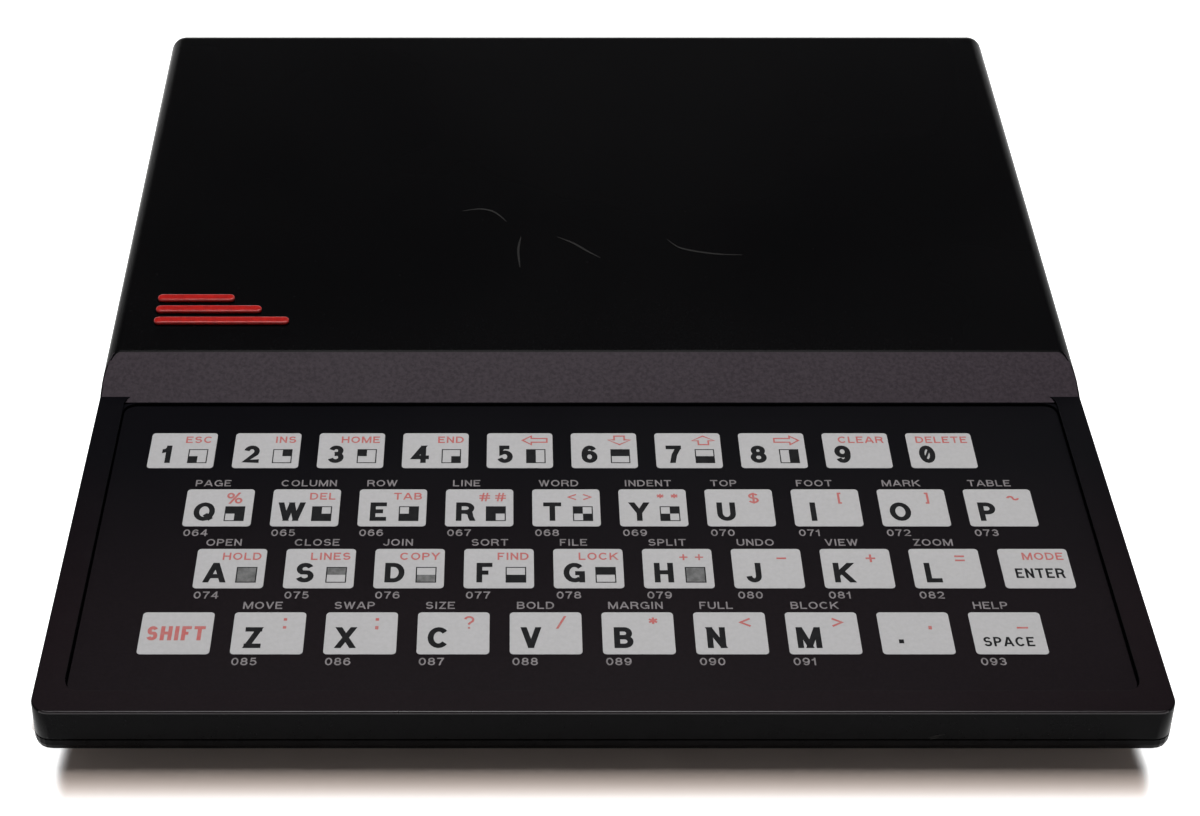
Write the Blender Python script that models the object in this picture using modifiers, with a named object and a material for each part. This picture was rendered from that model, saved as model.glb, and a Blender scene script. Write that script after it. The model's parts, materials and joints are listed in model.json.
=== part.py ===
"""Vintage home computer: a wedge-shaped moulded case round one circuit board, with a flat printed keyboard.

Metres, +Z up, +Y towards the rear. The origin is on the table under the middle of the case.
Levels are heights above the table. A run is a level distance back from the front face.
"""

from math import ceil, copysign, cos, pi, radians, sin, tan

import bmesh
import bpy
from mathutils import Matrix, Vector

# Fits shared by every piece
GAP = 0.0003            # between pieces that touch
OVERRUN = 0.0006        # how far a cutter passes the face that it opens
ROOTING = 0.0005        # how far a joined shape reaches into its carrier

# Case outline
CASE_WIDTH = 0.167
CASE_DEPTH = 0.175
CASE_HEIGHT = 0.040
FRONT_HEIGHT = 0.0108
KEYBOARD_SHARE = 0.399              # of the case's depth, up to the band's foot
BAND_RUN = 0.0080
KEYBOARD_SLOPE = radians(7.0)
BAND_SLOPE = radians(27.8)
WALL_DRAFT = radians(1.2)
CORNER_RADIUS = 0.0029
DECK_FILLET = 0.0026
RIM_FILLET = 0.0006
BASE_FILLET = 0.0016
STAND_HEIGHT = 0.0030
SEAM_HEIGHT = 0.0055

# Case mouldings
WALL = 0.0022
INNER_RADIUS = 0.0008
FLOOR_THICKNESS = 0.0020
LIP_THICKNESS = 0.0012
LIP_HEIGHT = 0.0012
RIB_THICKNESS = 0.0012
RIB_DEPTH = 0.0020
RIB_RUN_SHARES = (0.70, 0.84)       # of the case's depth
BOSS_RADIUS = 0.0034
POST_RADIUS = 0.0028
PILLAR_RADIUS = 0.0046
PILLAR_HEIGHT = 0.0022              # above the floor's upper face
SEAT_THICKNESS = 0.0014

# Raised badge, three plain bars
BADGE_BAR_LENGTHS = (0.0235, 0.0185, 0.0135)
BADGE_BAR_WIDTH = 0.0016
BADGE_BAR_PITCH = 0.0030
BADGE_BAR_RISE = 0.0007
BADGE_LEFT_INSET = 0.0079
BADGE_FRONT_INSET = 0.0074          # up the deck from the band's top edge

# Keyboard, measured up its slope from the front top edge
OVERLAY_SIDE_MARGIN = 0.0038
OVERLAY_FRONT = 0.0042
OVERLAY_REAR_MARGIN = 0.0012        # to the band's foot
OVERLAY_THICKNESS = 0.0004
OVERLAY_DROP = 0.00045
OVERLAY_RADIUS = 0.0018
GROOVE_WIDTH = 0.0004
SHEET_THICKNESS = 0.00015
SHEET_INSET = 0.0012
TRAY_THICKNESS = 0.0016
KEY_WIDTH = 0.0111
KEY_LENGTH = 0.0086
KEY_LEFT_MARGIN = 0.0066
KEY_RIGHT_MARGIN = 0.0058
KEY_REAR_MARGIN = 0.0076
KEY_FRONT_MARGIN = 0.0077
KEYS_IN_ROW = 10
ROW_OFFSET_SHARES = (0.0, 0.53, 0.76, 0.27)     # of the key pitch
CONTACT_RADIUS = 0.0036
CONTACT_HOLE_CORNERS = 6

# Keyboard tails: lines, and their places across the board
TAIL_LINE_PITCH = 0.00254
UPPER_TAIL_LINES = 5
LOWER_TAIL_LINES = 8
UPPER_TAIL_SHARE = 0.245
LOWER_TAIL_SHARE = 0.415
TAIL_LEAD_OUT = 0.0068
TAIL_ARCH = 0.0034
TAIL_SLOT_REACH = 0.0080
TAIL_STEPS = 10

# Circuit board
BOARD_LEVEL = 0.0110                # underside
BOARD_THICKNESS = 0.0016
BOARD_SIDE_MARGIN = 0.0025          # to the inside of the walls
BOARD_REAR_MARGIN = 0.0036
BOARD_SETBACK = 0.0017              # behind the band's top edge
NOTCH_SIZE = 0.0060                 # beyond a rear boss
TONGUE_WIDTH = 0.0600
TONGUE_REACH = 0.0042
TONGUE_CENTRE_SHARE = 0.44          # of the case's width
KEYWAY_WIDTH = 0.0011
KEYWAY_DEPTH = 0.0065
KEYWAY_SHARE = 0.89                 # of the tongue's width
CONTACT_PITCH = 0.00254
SLOT_SIDE_ROOM = 0.0030
SLOT_TOP_ROOM = 0.0072

# Places on the board, as shares of its width and length from its front left corner
REAR_CHIP_SHARE = 0.77
PROCESSOR_SHARE = 0.50
RAM_LENGTH_SHARES = (0.555, 0.415)
RESONATOR_LENGTH_SHARE = 0.27
LARGE_CAPACITOR_SHARES = (0.19, 0.175)
SMALL_CAPACITOR_SHARES = (0.155, 0.355)
RESISTOR_START_SHARES = (0.31, 0.245)
REGULATOR_SHARE = 0.83
BOARD_POST_SHARES = ((0.235, 0.36), (0.968, 0.60))
PROP_SHARES = ((0.10, 0.10), (0.95, 0.30), (0.50, 0.93))

# Free room between the pieces of two rows, as shares of what their sizes leave
REAR_ROW_GAP_SHARES = (0.30, 0.26, 0.44)            # modulator, logic chip, ROM chip, board's edge
LEFT_ROW_GAP_SHARES = (0.36, 0.10, 0.10, 0.13, 0.31)    # board's front, jacks, modulator, board's rear

# Chips
LOGIC_PINS = 40
PROCESSOR_PINS = 40
ROM_PINS = 24
RAM_PINS = 18
CHIP_PITCH = 0.00254
CHIP_BODY_HEIGHT = 0.0038
CHIP_END_MARGIN = 0.0010
CHIP_STANDOFF = 0.0008
CHIP_BEVEL = 0.0005
CHIP_NOTCH_RADIUS = 0.0013
CHIP_NOTCH_DEPTH = 0.0008
WIDE_ROW = 0.01524
NARROW_ROW = 0.00762
LEAD_WIDTH = 0.0013
LEAD_THICKNESS = 0.0003
SOCKET_HEIGHT = 0.0042
SOCKET_RAIL = 0.0030
SOCKET_END = 0.0006

# Keyboard connectors
CONNECTOR_DEPTH = 0.0050
CONNECTOR_HEIGHT = 0.0056
CONNECTOR_END = 0.0022
CONNECTOR_SETBACK = 0.0010
CONNECTOR_SLOT = 0.0026
CONNECTOR_SLOT_DEPTH = 0.0030

# Jacks in the left wall, from the front
JACK_COUNT = 3
JACK_NAMES = ("power_jack", "microphone_jack", "earphone_jack")
JACK_WIDTH = 0.0092
JACK_LENGTH = 0.0122
JACK_HEIGHT = 0.0096
JACK_BEVEL = 0.0006
JACK_AXIS = 0.0050                  # above its seat
JACK_NOSE_RADIUS = 0.0030
JACK_BORE_RADIUS = 0.0018
JACK_BORE_DEPTH = 0.0105
JACK_HOLE_RADIUS = 0.0039
JACK_FLARE_RADIUS = 0.0050
HOLE_FLARE_DEPTH = 0.0006

# Television modulator
MODULATOR_WIDTH = 0.0260
MODULATOR_LENGTH = 0.0320
MODULATOR_HEADROOM = 0.0010         # between its lid and the deck
TINPLATE = 0.0005
LID_SKIRT = 0.0018
TUNING_HOLE_RADIUS = 0.0018
AERIAL_AXIS_SHARE = 0.48            # of the can's height
AERIAL_REACH = 0.0090
AERIAL_RADIUS = 0.00415
AERIAL_WALL = 0.0007
AERIAL_FLANGE_RADIUS = 0.0055
AERIAL_FLANGE = 0.0008
AERIAL_PIN_RADIUS = 0.0016
AERIAL_PIN_DEPTH = 0.0062
AERIAL_HOLE_RADIUS = 0.0066
AERIAL_FLARE_RADIUS = 0.0078

# Regulator and heatsink
HEATSINK_THICKNESS = 0.0013
HEATSINK_WIDTH = 0.0480
HEATSINK_TOP_WIDTH = 0.0240
HEATSINK_TOP_LENGTH = 0.0170
HEATSINK_LENGTH = 0.0425            # in front of the board
HEATSINK_SIDE_INSET = 0.0080        # from the board's right edge
HEATSINK_LEVEL = 0.0082
REGULATOR_WIDTH = 0.0102
REGULATOR_LENGTH = 0.0092
REGULATOR_HEIGHT = 0.0044
REGULATOR_TAB = 0.0013
REGULATOR_TAB_LENGTH = 0.0064
REGULATOR_HOLE_SETBACK = 0.0032     # from the tab's front edge
REGULATOR_LEAD_REACH = 0.0040
REGULATOR_LEAD_WIDTH = 0.0009
NUT_RADIUS = 0.0031
NUT_HEIGHT = 0.0022

# Small parts on the board
LARGE_CAPACITOR_RADIUS = 0.0040
LARGE_CAPACITOR_LENGTH = 0.0170
SMALL_CAPACITOR_RADIUS = 0.0032
SMALL_CAPACITOR_HEIGHT = 0.0110
CAPACITOR_GROOVE = 0.0004
CAPACITOR_GROOVE_SETBACK = 0.0020
RESONATOR_SIZE = (0.0070, 0.0030, 0.0085)
RESONATOR_OFFSET = 0.0090           # left of the ROM chip's middle
RESONATOR_BEVEL = 0.0009
TRANSISTOR_RADIUS = 0.0024
TRANSISTOR_HEIGHT = 0.0048
TRANSISTOR_FLAT = 0.0010
TRANSISTOR_COUNT = 2
TRANSISTOR_PITCH = 0.0072
TRANSISTOR_CLEARANCE = 0.0012       # in front of the modulator
RESISTOR_COUNT = 8
RESISTOR_PITCH = 0.0050
RESISTOR_RADIUS = 0.0012
RESISTOR_LENGTH = 0.0062
RESISTOR_SPAN = 0.0102
RESISTOR_RISE = 0.0019
WIRE = 0.0006

# Screws and feet
SCREW_RADIUS = 0.00145
SCREW_HEAD_RADIUS = 0.0028
SCREW_HEAD_HEIGHT = 0.0017
SCREW_SLOT_WIDTH = 0.0007
SCREW_SLOT_DEPTH = 0.0008
LONG_SCREW = 0.0100
SHORT_SCREW = 0.0042
BOARD_SCREW = 0.0060
TIP_ROOM = 0.0010
FOOT_RADIUS = 0.00635
FOOT_FILLET = 0.0008
FOOT_RECESS = 0.0006
FOOT_SIDE_INSET = 0.0098
FOOT_FRONT_INSET = 0.0275
FOOT_REAR_INSET = 0.0098
MIDDLE_SCREW_SETBACK = 0.0078       # in front of the band

# Facets
CORNER_STEPS = 5
FILLET_STEPS = 5
SMALL_STEPS = 2
HOLE_STEPS = 16
BOSS_STEPS = 16
FOOT_STEPS = 20
SCREW_STEPS = 10

# Levels and places that follow
FRONT = -CASE_DEPTH / 2
REAR = CASE_DEPTH / 2
KEYBOARD_RUN = KEYBOARD_SHARE * CASE_DEPTH
BAND_FOOT = FRONT_HEIGHT + KEYBOARD_RUN * tan(KEYBOARD_SLOPE)
BAND_TOP = BAND_FOOT + BAND_RUN * tan(BAND_SLOPE)
DECK_RISE = (CASE_HEIGHT - BAND_TOP) / (CASE_DEPTH - KEYBOARD_RUN - BAND_RUN)
DECK_SLOPE = Vector((1, DECK_RISE)).angle_signed(Vector((1, 0)))
OVERLAY_WIDTH = CASE_WIDTH - 2 * OVERLAY_SIDE_MARGIN
OVERLAY_LENGTH = KEYBOARD_RUN / cos(KEYBOARD_SLOPE) - OVERLAY_REAR_MARGIN - OVERLAY_FRONT
KEYS_WIDTH = OVERLAY_WIDTH - KEY_LEFT_MARGIN - KEY_RIGHT_MARGIN - KEY_WIDTH
KEY_PITCH = KEYS_WIDTH / (KEYS_IN_ROW - 1 + max(ROW_OFFSET_SHARES))
KEYS_LENGTH = OVERLAY_LENGTH - KEY_REAR_MARGIN - KEY_FRONT_MARGIN - KEY_LENGTH
ROW_PITCH = KEYS_LENGTH / (len(ROW_OFFSET_SHARES) - 1)
RECESS_DEPTH = OVERLAY_DROP + OVERLAY_THICKNESS + 3 * SHEET_THICKNESS + 4 * GAP
RECESS_WIDTH = OVERLAY_WIDTH + 2 * GROOVE_WIDTH
RECESS_REAR = OVERLAY_FRONT + OVERLAY_LENGTH + GROOVE_WIDTH
FLOOR_LEVEL = STAND_HEIGHT + FLOOR_THICKNESS
PILLAR_LEVEL = FLOOR_LEVEL + PILLAR_HEIGHT
BOARD_TOP = BOARD_LEVEL + BOARD_THICKNESS
SEAT_LEVEL = BOARD_TOP + GAP
BOARD_FRONT = FRONT + KEYBOARD_RUN + BAND_RUN + BOARD_SETBACK
BOARD_REAR = REAR - WALL - BOARD_REAR_MARGIN
BOARD_RIGHT = CASE_WIDTH / 2 - WALL - BOARD_SIDE_MARGIN
BOARD_WIDTH = 2 * BOARD_RIGHT
BOARD_LENGTH = BOARD_REAR - BOARD_FRONT
SLOPE = Matrix.Translation((0, FRONT, FRONT_HEIGHT)) @ Matrix.Rotation(KEYBOARD_SLOPE, 4, "X")
ALONG_X = Matrix.Rotation(pi / 2, 4, "Y")
ALONG_Y = Matrix.Rotation(-pi / 2, 4, "X")


def start_scene():
    for old in list(bpy.data.objects):
        bpy.data.objects.remove(old)
    for name in ("home_computer", "cutters"):
        collection = bpy.data.collections.new(name)
        bpy.context.scene.collection.children.link(collection)


def material(name, colour, roughness, metallic=0.0):
    made = bpy.data.materials.new(name)
    made.use_nodes = True
    shader = made.node_tree.nodes["Principled BSDF"]
    shader.inputs["Base Color"].default_value = (*colour, 1)
    shader.inputs["Roughness"].default_value = roughness
    shader.inputs["Metallic"].default_value = metallic
    return made


def add_object(name, data, finish=None):
    """A sub-part when it has a finish, otherwise a hidden shape for a Boolean."""
    made = bpy.data.objects.new(name, data)
    if finish:
        made.data.materials.append(finish)
        bpy.data.collections["home_computer"].objects.link(made)
    else:
        made.hide_render = True
        made.display_type = "WIRE"
        bpy.data.collections["cutters"].objects.link(made)
    return made


def face_outwards(form):
    bmesh.ops.recalc_face_normals(form, faces=form.faces)
    if form.calc_volume(signed=True) < 0:
        bmesh.ops.reverse_faces(form, faces=form.faces)


def add_mesh(name, form, finish=None, place=None):
    """Turns a closed bmesh into an object, moved by the place matrix."""
    if place:
        form.transform(place)
    face_outwards(form)
    data = bpy.data.meshes.new(name)
    form.to_mesh(data)
    form.free()
    return add_object(name, data, finish)


def box(name, low, high, finish=None, place=None):
    form = bmesh.new()
    bmesh.ops.create_cube(form, size=1)
    low, high = Vector(low), Vector(high)
    bmesh.ops.scale(form, vec=high - low, verts=form.verts)
    bmesh.ops.translate(form, vec=(low + high) / 2, verts=form.verts)
    return add_mesh(name, form, finish, place)


def cylinder(name, radius, low, high, place, steps=HOLE_STEPS, finish=None):
    """A cylinder round the place's own Z axis, from low to high along it."""
    form = bmesh.new()
    bmesh.ops.create_cone(
        form, cap_ends=True, segments=steps, radius1=radius, radius2=radius, depth=high - low
    )
    bmesh.ops.translate(form, vec=(0, 0, (low + high) / 2), verts=form.verts)
    return add_mesh(name, form, finish, place)


def prism(name, outline, low, high, finish=None, place=None):
    """A flat outline in X and Y, raised from low to high."""
    form = bmesh.new()
    face = form.faces.new([form.verts.new((x, y, low)) for x, y in outline])
    raised = bmesh.ops.extrude_face_region(form, geom=[face])["geom"]
    top = [part for part in raised if isinstance(part, bmesh.types.BMVert)]
    bmesh.ops.translate(form, vec=(0, 0, high - low), verts=top)
    return add_mesh(name, form, finish, place)


def side_prism(name, outline, left, right, finish=None):
    """An outline in Y and Z, drawn out from left to right."""
    turn = Matrix(((0, 0, 1, 0), (1, 0, 0, 0), (0, 1, 0, 0), (0, 0, 0, 1)))
    return prism(name, outline, left, right, finish, turn)


def rounded_outline(width, length, radius, steps):
    """Points of a rounded rectangle whose centre is at zero, anticlockwise."""
    points = []
    for turn, (side, end) in enumerate(((1, 1), (-1, 1), (-1, -1), (1, -1))):
        for step in range(steps + 1):
            angle = (turn + step / steps) * pi / 2
            x = side * (width / 2 - radius) + radius * cos(angle)
            y = end * (length / 2 - radius) + radius * sin(angle)
            points.append((x, y))
    return points


def turned(name, profile, finish, place, steps, closed=False):
    """A profile of (radius, height) pairs, running down its outer side, swept round the place's Z axis."""
    data = bpy.data.meshes.new(name)
    count = len(profile)
    edges = [(at, (at + 1) % count) for at in range(count if closed else count - 1)]
    data.from_pydata([(radius, 0, height) for radius, height in profile], edges, [])
    made = add_object(name, data, finish)
    made.matrix_world = place
    sweep = made.modifiers.new("turn", "SCREW")
    sweep.axis = "Z"
    sweep.angle = 2 * pi
    sweep.steps = sweep.render_steps = steps
    sweep.use_merge_vertices = True
    sweep.merge_threshold = 0.00001
    return made


def combine(target, operation, shapes):
    for shape in shapes:
        change = target.modifiers.new(shape.name, "BOOLEAN")
        change.operation = operation
        change.solver = "EXACT"
        change.object = shape
    return target


def cut(target, *cutters):
    return combine(target, "DIFFERENCE", cutters)


def join(target, *shapes):
    return combine(target, "UNION", shapes)


def bevel(target, width, steps, angle=radians(40)):
    change = target.modifiers.new("bevel", "BEVEL")
    change.width = width
    change.segments = steps
    change.limit_method = "ANGLE"
    change.angle_limit = angle
    return target


def settle(made):
    """Keeps an object's evaluated mesh and drops its modifiers."""
    bpy.context.view_layer.update()
    seen = made.evaluated_get(bpy.context.evaluated_depsgraph_get())
    data = bpy.data.meshes.new_from_object(seen)
    made.modifiers.clear()
    made.data = data
    return made


def keyboard_level(run, depth=0.0):
    """Level of the keyboard margin at a run, or of a plane that lies depth under it."""
    return FRONT_HEIGHT + run * tan(KEYBOARD_SLOPE) - depth / cos(KEYBOARD_SLOPE)


def band_level(run, depth=0.0):
    return BAND_FOOT + (run - KEYBOARD_RUN) * tan(BAND_SLOPE) - depth / cos(BAND_SLOPE)


def deck_level(run, depth=0.0):
    return BAND_TOP + (run - KEYBOARD_RUN - BAND_RUN) * DECK_RISE - depth / cos(DECK_SLOPE)


def run_of(y):
    return y - FRONT


def board_place(width_share, length_share, level=SEAT_LEVEL):
    x = (width_share - 0.5) * BOARD_WIDTH
    y = BOARD_FRONT + length_share * BOARD_LENGTH
    return Vector((x, y, level))


def at(x, y, z):
    return Matrix.Translation((x, y, z))


def row_centres(start, end, lengths, gap_shares):
    """Middles of pieces in a row from start to end. Each has its share of the free room before it."""
    free = end - start - sum(lengths)
    centres = []
    for length, share in zip(lengths, gap_shares):
        start += share * free + length
        centres.append(start - length / 2)
    return centres


def chip_length(pins):
    return pins / 2 * CHIP_PITCH + 2 * SOCKET_END


def left_row():
    """Middles of the jacks and the modulator along the board's left edge, front to rear."""
    lengths = [JACK_WIDTH] * len(JACK_NAMES) + [MODULATOR_LENGTH + 2 * (GAP + TINPLATE)]
    return row_centres(BOARD_FRONT, BOARD_REAR, lengths, LEFT_ROW_GAP_SHARES)


def modulator_centre():
    left = -CASE_WIDTH / 2 + WALL + BOARD_SIDE_MARGIN + AERIAL_REACH
    return left + MODULATOR_WIDTH / 2, left_row()[-1]


def rear_row():
    """Middles of the two chips to the right of the modulator."""
    start = modulator_centre()[0] + MODULATOR_WIDTH / 2 + GAP + TINPLATE
    lengths = [chip_length(LOGIC_PINS), chip_length(ROM_PINS)]
    return row_centres(start, BOARD_RIGHT, lengths, REAR_ROW_GAP_SHARES)


def case_block(name, inset, low, corner_radius, fillet, steps):
    """The case's drafted block, moved in by inset. Its top is the deck, and level in front of the band."""
    flat_run = KEYBOARD_RUN
    lean = tan(WALL_DRAFT)
    flat_level = deck_level(flat_run, inset)
    rear_level = deck_level(CASE_DEPTH - inset, inset)
    outline = (
        (inset, low),
        (CASE_DEPTH - inset, low),
        (CASE_DEPTH - inset, rear_level),
        (flat_run, flat_level),
        (inset, flat_level),
    )
    form = bmesh.new()
    face = form.faces.new([form.verts.new((-1, run, level)) for run, level in outline])
    raised = bmesh.ops.extrude_face_region(form, geom=[face])["geom"]
    far = [part for part in raised if isinstance(part, bmesh.types.BMVert)]
    bmesh.ops.translate(form, vec=(2, 0, 0), verts=far)
    for vert in form.verts:
        drawn_in = (vert.co.z - SEAM_HEIGHT) * lean
        run = vert.co.y
        if run < flat_run:
            run += drawn_in
        elif run > flat_run:
            run -= drawn_in
        half = CASE_WIDTH / 2 - inset - drawn_in
        vert.co = (copysign(half, vert.co.x), FRONT + run, vert.co.z)
    face_outwards(form)
    round_edges(form, is_upright, corner_radius, steps)
    round_edges(form, is_top_rim, fillet, steps)
    return add_mesh(name, form)


def round_edges(form, chosen, radius, steps):
    edges = [edge for edge in form.edges if len(edge.link_faces) == 2 and chosen(edge)]
    bmesh.ops.bevel(
        form, geom=edges, offset=radius, segments=steps, profile=0.5, affect="EDGES", clamp_overlap=True
    )
    face_outwards(form)


def is_upright(edge):
    along = (edge.verts[1].co - edge.verts[0].co).normalized()
    return abs(along.z) > cos(radians(30))


def is_top_rim(edge):
    tilts = sorted(face.normal.z for face in edge.link_faces)
    return tilts[1] > cos(radians(40)) and tilts[0] < cos(radians(60))


def is_keyboard_rim(edge):
    """A sharp edge between the keyboard margin and the walls, in front of the band."""
    upper, lower = sorted(edge.link_faces, key=lambda face: -face.normal.z)
    ahead = all(run_of(vert.co.y) < KEYBOARD_RUN + ROOTING for vert in edge.verts)
    return ahead and upper.normal.z > cos(radians(35)) and lower.normal.z < sin(radians(20))


def keyboard_cutter(name, depth):
    """Everything above the keyboard margin and the band, or above planes that lie depth under them."""
    slope_gap = tan(BAND_SLOPE) - tan(KEYBOARD_SLOPE)
    foot_run = KEYBOARD_RUN + depth * (1 / cos(BAND_SLOPE) - 1 / cos(KEYBOARD_SLOPE)) / slope_gap
    start = -OVERRUN
    end = KEYBOARD_RUN + 4 * BAND_RUN
    high = CASE_HEIGHT + band_level(end)
    outline = (
        (FRONT + start, keyboard_level(start, depth)),
        (FRONT + foot_run, keyboard_level(foot_run, depth)),
        (FRONT + end, band_level(end, depth)),
        (FRONT + end, high),
        (FRONT + start, high),
    )
    reach = CASE_WIDTH / 2 + OVERRUN
    return side_prism(name, outline, -reach, reach)


def case_shell():
    """The top case's wall: the rounded block less the keyboard space, hollow and open below."""
    low = SEAM_HEIGHT + GAP
    shell = case_block("case_form", 0, low, CORNER_RADIUS, min(DECK_FILLET, 0.95 * CORNER_RADIUS), FILLET_STEPS)
    settle(cut(shell, keyboard_cutter("keyboard_space", 0)))
    form = bmesh.new()
    form.from_mesh(shell.data)
    round_edges(form, is_keyboard_rim, RIM_FILLET, SMALL_STEPS + 1)
    form.to_mesh(shell.data)
    form.free()
    inner_low = low - OVERRUN
    hollow = case_block("case_hollow", WALL, inner_low, INNER_RADIUS, 0.9 * INNER_RADIUS, SMALL_STEPS)
    cut(hollow, keyboard_cutter("keyboard_under_space", WALL))
    return cut(shell, settle(hollow))


def recess_cutters():
    """The keyboard recess, and the band's plane carried on down to its rear edge."""
    length = RECESS_REAR - OVERLAY_FRONT + GROOVE_WIDTH
    outline = rounded_outline(RECESS_WIDTH, length, OVERLAY_RADIUS + GROOVE_WIDTH, CORNER_STEPS)
    middle = RECESS_REAR - length / 2
    pocket = prism("recess", outline, -RECESS_DEPTH, OVERRUN, None, SLOPE @ at(0, middle, 0))
    foot = KEYBOARD_RUN / cos(KEYBOARD_SLOPE)
    end = foot + GROOVE_WIDTH
    apron_length = end - OVERLAY_FRONT
    outline = rounded_outline(RECESS_WIDTH, apron_length, OVERLAY_RADIUS + GROOVE_WIDTH, CORNER_STEPS)
    form = bmesh.new()
    face = form.faces.new([form.verts.new((x, y, -OVERLAY_DROP)) for x, y in outline])
    raised = bmesh.ops.extrude_face_region(form, geom=[face])["geom"]
    top = [part for part in raised if isinstance(part, bmesh.types.BMVert)]
    bmesh.ops.translate(form, vec=(0, 0, OVERLAY_DROP + OVERRUN), verts=top)
    bmesh.ops.translate(form, vec=(0, end - apron_length / 2, 0), verts=form.verts)
    steeper = BAND_SLOPE - KEYBOARD_SLOPE
    halved = bmesh.ops.bisect_plane(
        form,
        geom=[*form.verts, *form.edges, *form.faces],
        plane_co=(0, foot, 0),
        plane_no=(0, sin(steeper), -cos(steeper)),
        clear_outer=True,
    )
    rim = [part for part in halved["geom_cut"] if isinstance(part, bmesh.types.BMEdge)]
    bmesh.ops.contextual_create(form, geom=rim)
    apron = add_mesh("recess_apron", form, None, SLOPE)
    return pocket, apron


def tray():
    """The block under the keyboard recess. It reaches half-way into the walls round it."""
    half = CASE_WIDTH / 2 - WALL / 2 - BAND_FOOT * tan(WALL_DRAFT)
    low = (-half, WALL / 2, -RECESS_DEPTH - TRAY_THICKNESS)
    high = (half, RECESS_REAR + TRAY_THICKNESS, -WALL / 2)
    return box("tray", low, high, None, SLOPE)


def tail_width(lines):
    return lines * TAIL_LINE_PITCH


def tail_centre(share):
    return (share - 0.5) * BOARD_WIDTH


def tail_slot(name, share, lines):
    """A notch behind the recess, where a tail passes on into the case."""
    half = tail_width(lines) / 2 + GROOVE_WIDTH
    low = (tail_centre(share) - half, RECESS_REAR - OVERRUN, -RECESS_DEPTH - GAP)
    high = (tail_centre(share) + half, RECESS_REAR + TAIL_SLOT_REACH, -sheet_drop(0) + 2 * GAP)
    return box(name, low, high, None, SLOPE)


def sheet_drop(layer):
    """Depth of the upper face of sheet 0, 1 or 2 under the keyboard margin."""
    return OVERLAY_DROP + OVERLAY_THICKNESS + GAP + layer * (SHEET_THICKNESS + GAP)


def foot_places():
    x = CASE_WIDTH / 2 - FOOT_SIDE_INSET
    return {
        "front_left": (-x, FRONT + FOOT_FRONT_INSET),
        "front_right": (x, FRONT + FOOT_FRONT_INSET),
        "rear_left": (-x, REAR - FOOT_REAR_INSET),
        "rear_right": (x, REAR - FOOT_REAR_INSET),
    }


def screw_places():
    return {**foot_places(), "middle": (0, FRONT + KEYBOARD_RUN - MIDDLE_SCREW_SETBACK)}


def screw_length(y):
    return LONG_SCREW if y > BOARD_FRONT else SHORT_SCREW


def case_bosses():
    """Hollow bosses that take the case screws, and ribs that tie the rear ones to the corner's walls."""
    bosses, pilots = [], []
    low = PILLAR_LEVEL + GAP
    for name, (x, y) in screw_places().items():
        if y > BOARD_FRONT:
            high = deck_level(run_of(y), WALL / 2)
            side = copysign(1, x)
            wall_x = side * (CASE_WIDTH / 2 - WALL / 2 - CASE_HEIGHT * tan(WALL_DRAFT))
            across = sorted((x, wall_x))
            rib_low = BOARD_TOP
            bosses.append(
                box(
                    f"side_rib_{name}",
                    (across[0], y - RIB_THICKNESS / 2, rib_low),
                    (across[1], y + RIB_THICKNESS / 2, high - BOSS_RADIUS * DECK_RISE),
                )
            )
            bosses.append(
                box(
                    f"rear_rib_{name}",
                    (x - RIB_THICKNESS / 2, y, rib_low),
                    (x + RIB_THICKNESS / 2, REAR - WALL / 2 - CASE_HEIGHT * tan(WALL_DRAFT), high - ROOTING),
                )
            )
        else:
            high = keyboard_level(run_of(y), RECESS_DEPTH + TRAY_THICKNESS / 2)
        bosses.append(cylinder(f"boss_{name}", BOSS_RADIUS, low, high, at(x, y, 0), BOSS_STEPS))
        seat = PILLAR_LEVEL - SEAT_THICKNESS
        tip = min(seat - GAP + screw_length(y) + TIP_ROOM, high - TRAY_THICKNESS / 2)
        pilots.append(cylinder(f"pilot_{name}", SCREW_RADIUS + GAP, low - OVERRUN, tip, at(x, y, 0), SCREW_STEPS))
    return bosses, pilots


def board_posts():
    """Posts under the deck that the board is screwed up to."""
    posts, pilots = [], []
    for number, shares in enumerate(BOARD_POST_SHARES, 1):
        x, y, low = board_place(*shares)
        high = deck_level(run_of(y), WALL / 2)
        posts.append(cylinder(f"post_{number}", POST_RADIUS, low, high, at(x, y, 0), BOSS_STEPS))
        tip = BOARD_LEVEL - GAP + BOARD_SCREW + TIP_ROOM
        pilots.append(cylinder(f"post_pilot_{number}", SCREW_RADIUS + GAP, low - OVERRUN, tip, at(x, y, 0), SCREW_STEPS))
    return posts, pilots


def deck_ribs():
    half = CASE_WIDTH / 2 - WALL / 2 - CASE_HEIGHT * tan(WALL_DRAFT)
    ribs = []
    for number, share in enumerate(RIB_RUN_SHARES, 1):
        run = share * CASE_DEPTH
        y = FRONT + run
        low = deck_level(run, WALL + RIB_DEPTH)
        high = deck_level(run, WALL / 2)
        ribs.append(box(f"deck_rib_{number}", (-half, y, low), (half, y + RIB_THICKNESS, high)))
    return ribs


def jack_places():
    return dict(zip(JACK_NAMES, left_row()))


def wall_hole(name, y, level, radius, flare_radius):
    """A round hole through the left wall, with a shallow wider ring on its outside."""
    outer = -CASE_WIDTH / 2
    lean = (level - SEAM_HEIGHT) * tan(WALL_DRAFT)
    hole = cylinder(name, radius, -OVERRUN, WALL + lean + 2 * OVERRUN, at(outer, y, level) @ ALONG_X)
    ring_place = at(outer, y, level) @ ALONG_X
    ring = cylinder(f"{name}_ring", flare_radius, -OVERRUN, lean + HOLE_FLARE_DEPTH, ring_place, HOLE_STEPS)
    return hole, ring


def modulator_height():
    """As tall as the deck over its front edge allows."""
    front = modulator_centre()[1] - MODULATOR_LENGTH / 2 - TINPLATE
    lid_top = deck_level(run_of(front), WALL) - MODULATOR_HEADROOM
    return lid_top - TINPLATE - GAP - SEAT_LEVEL


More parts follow.
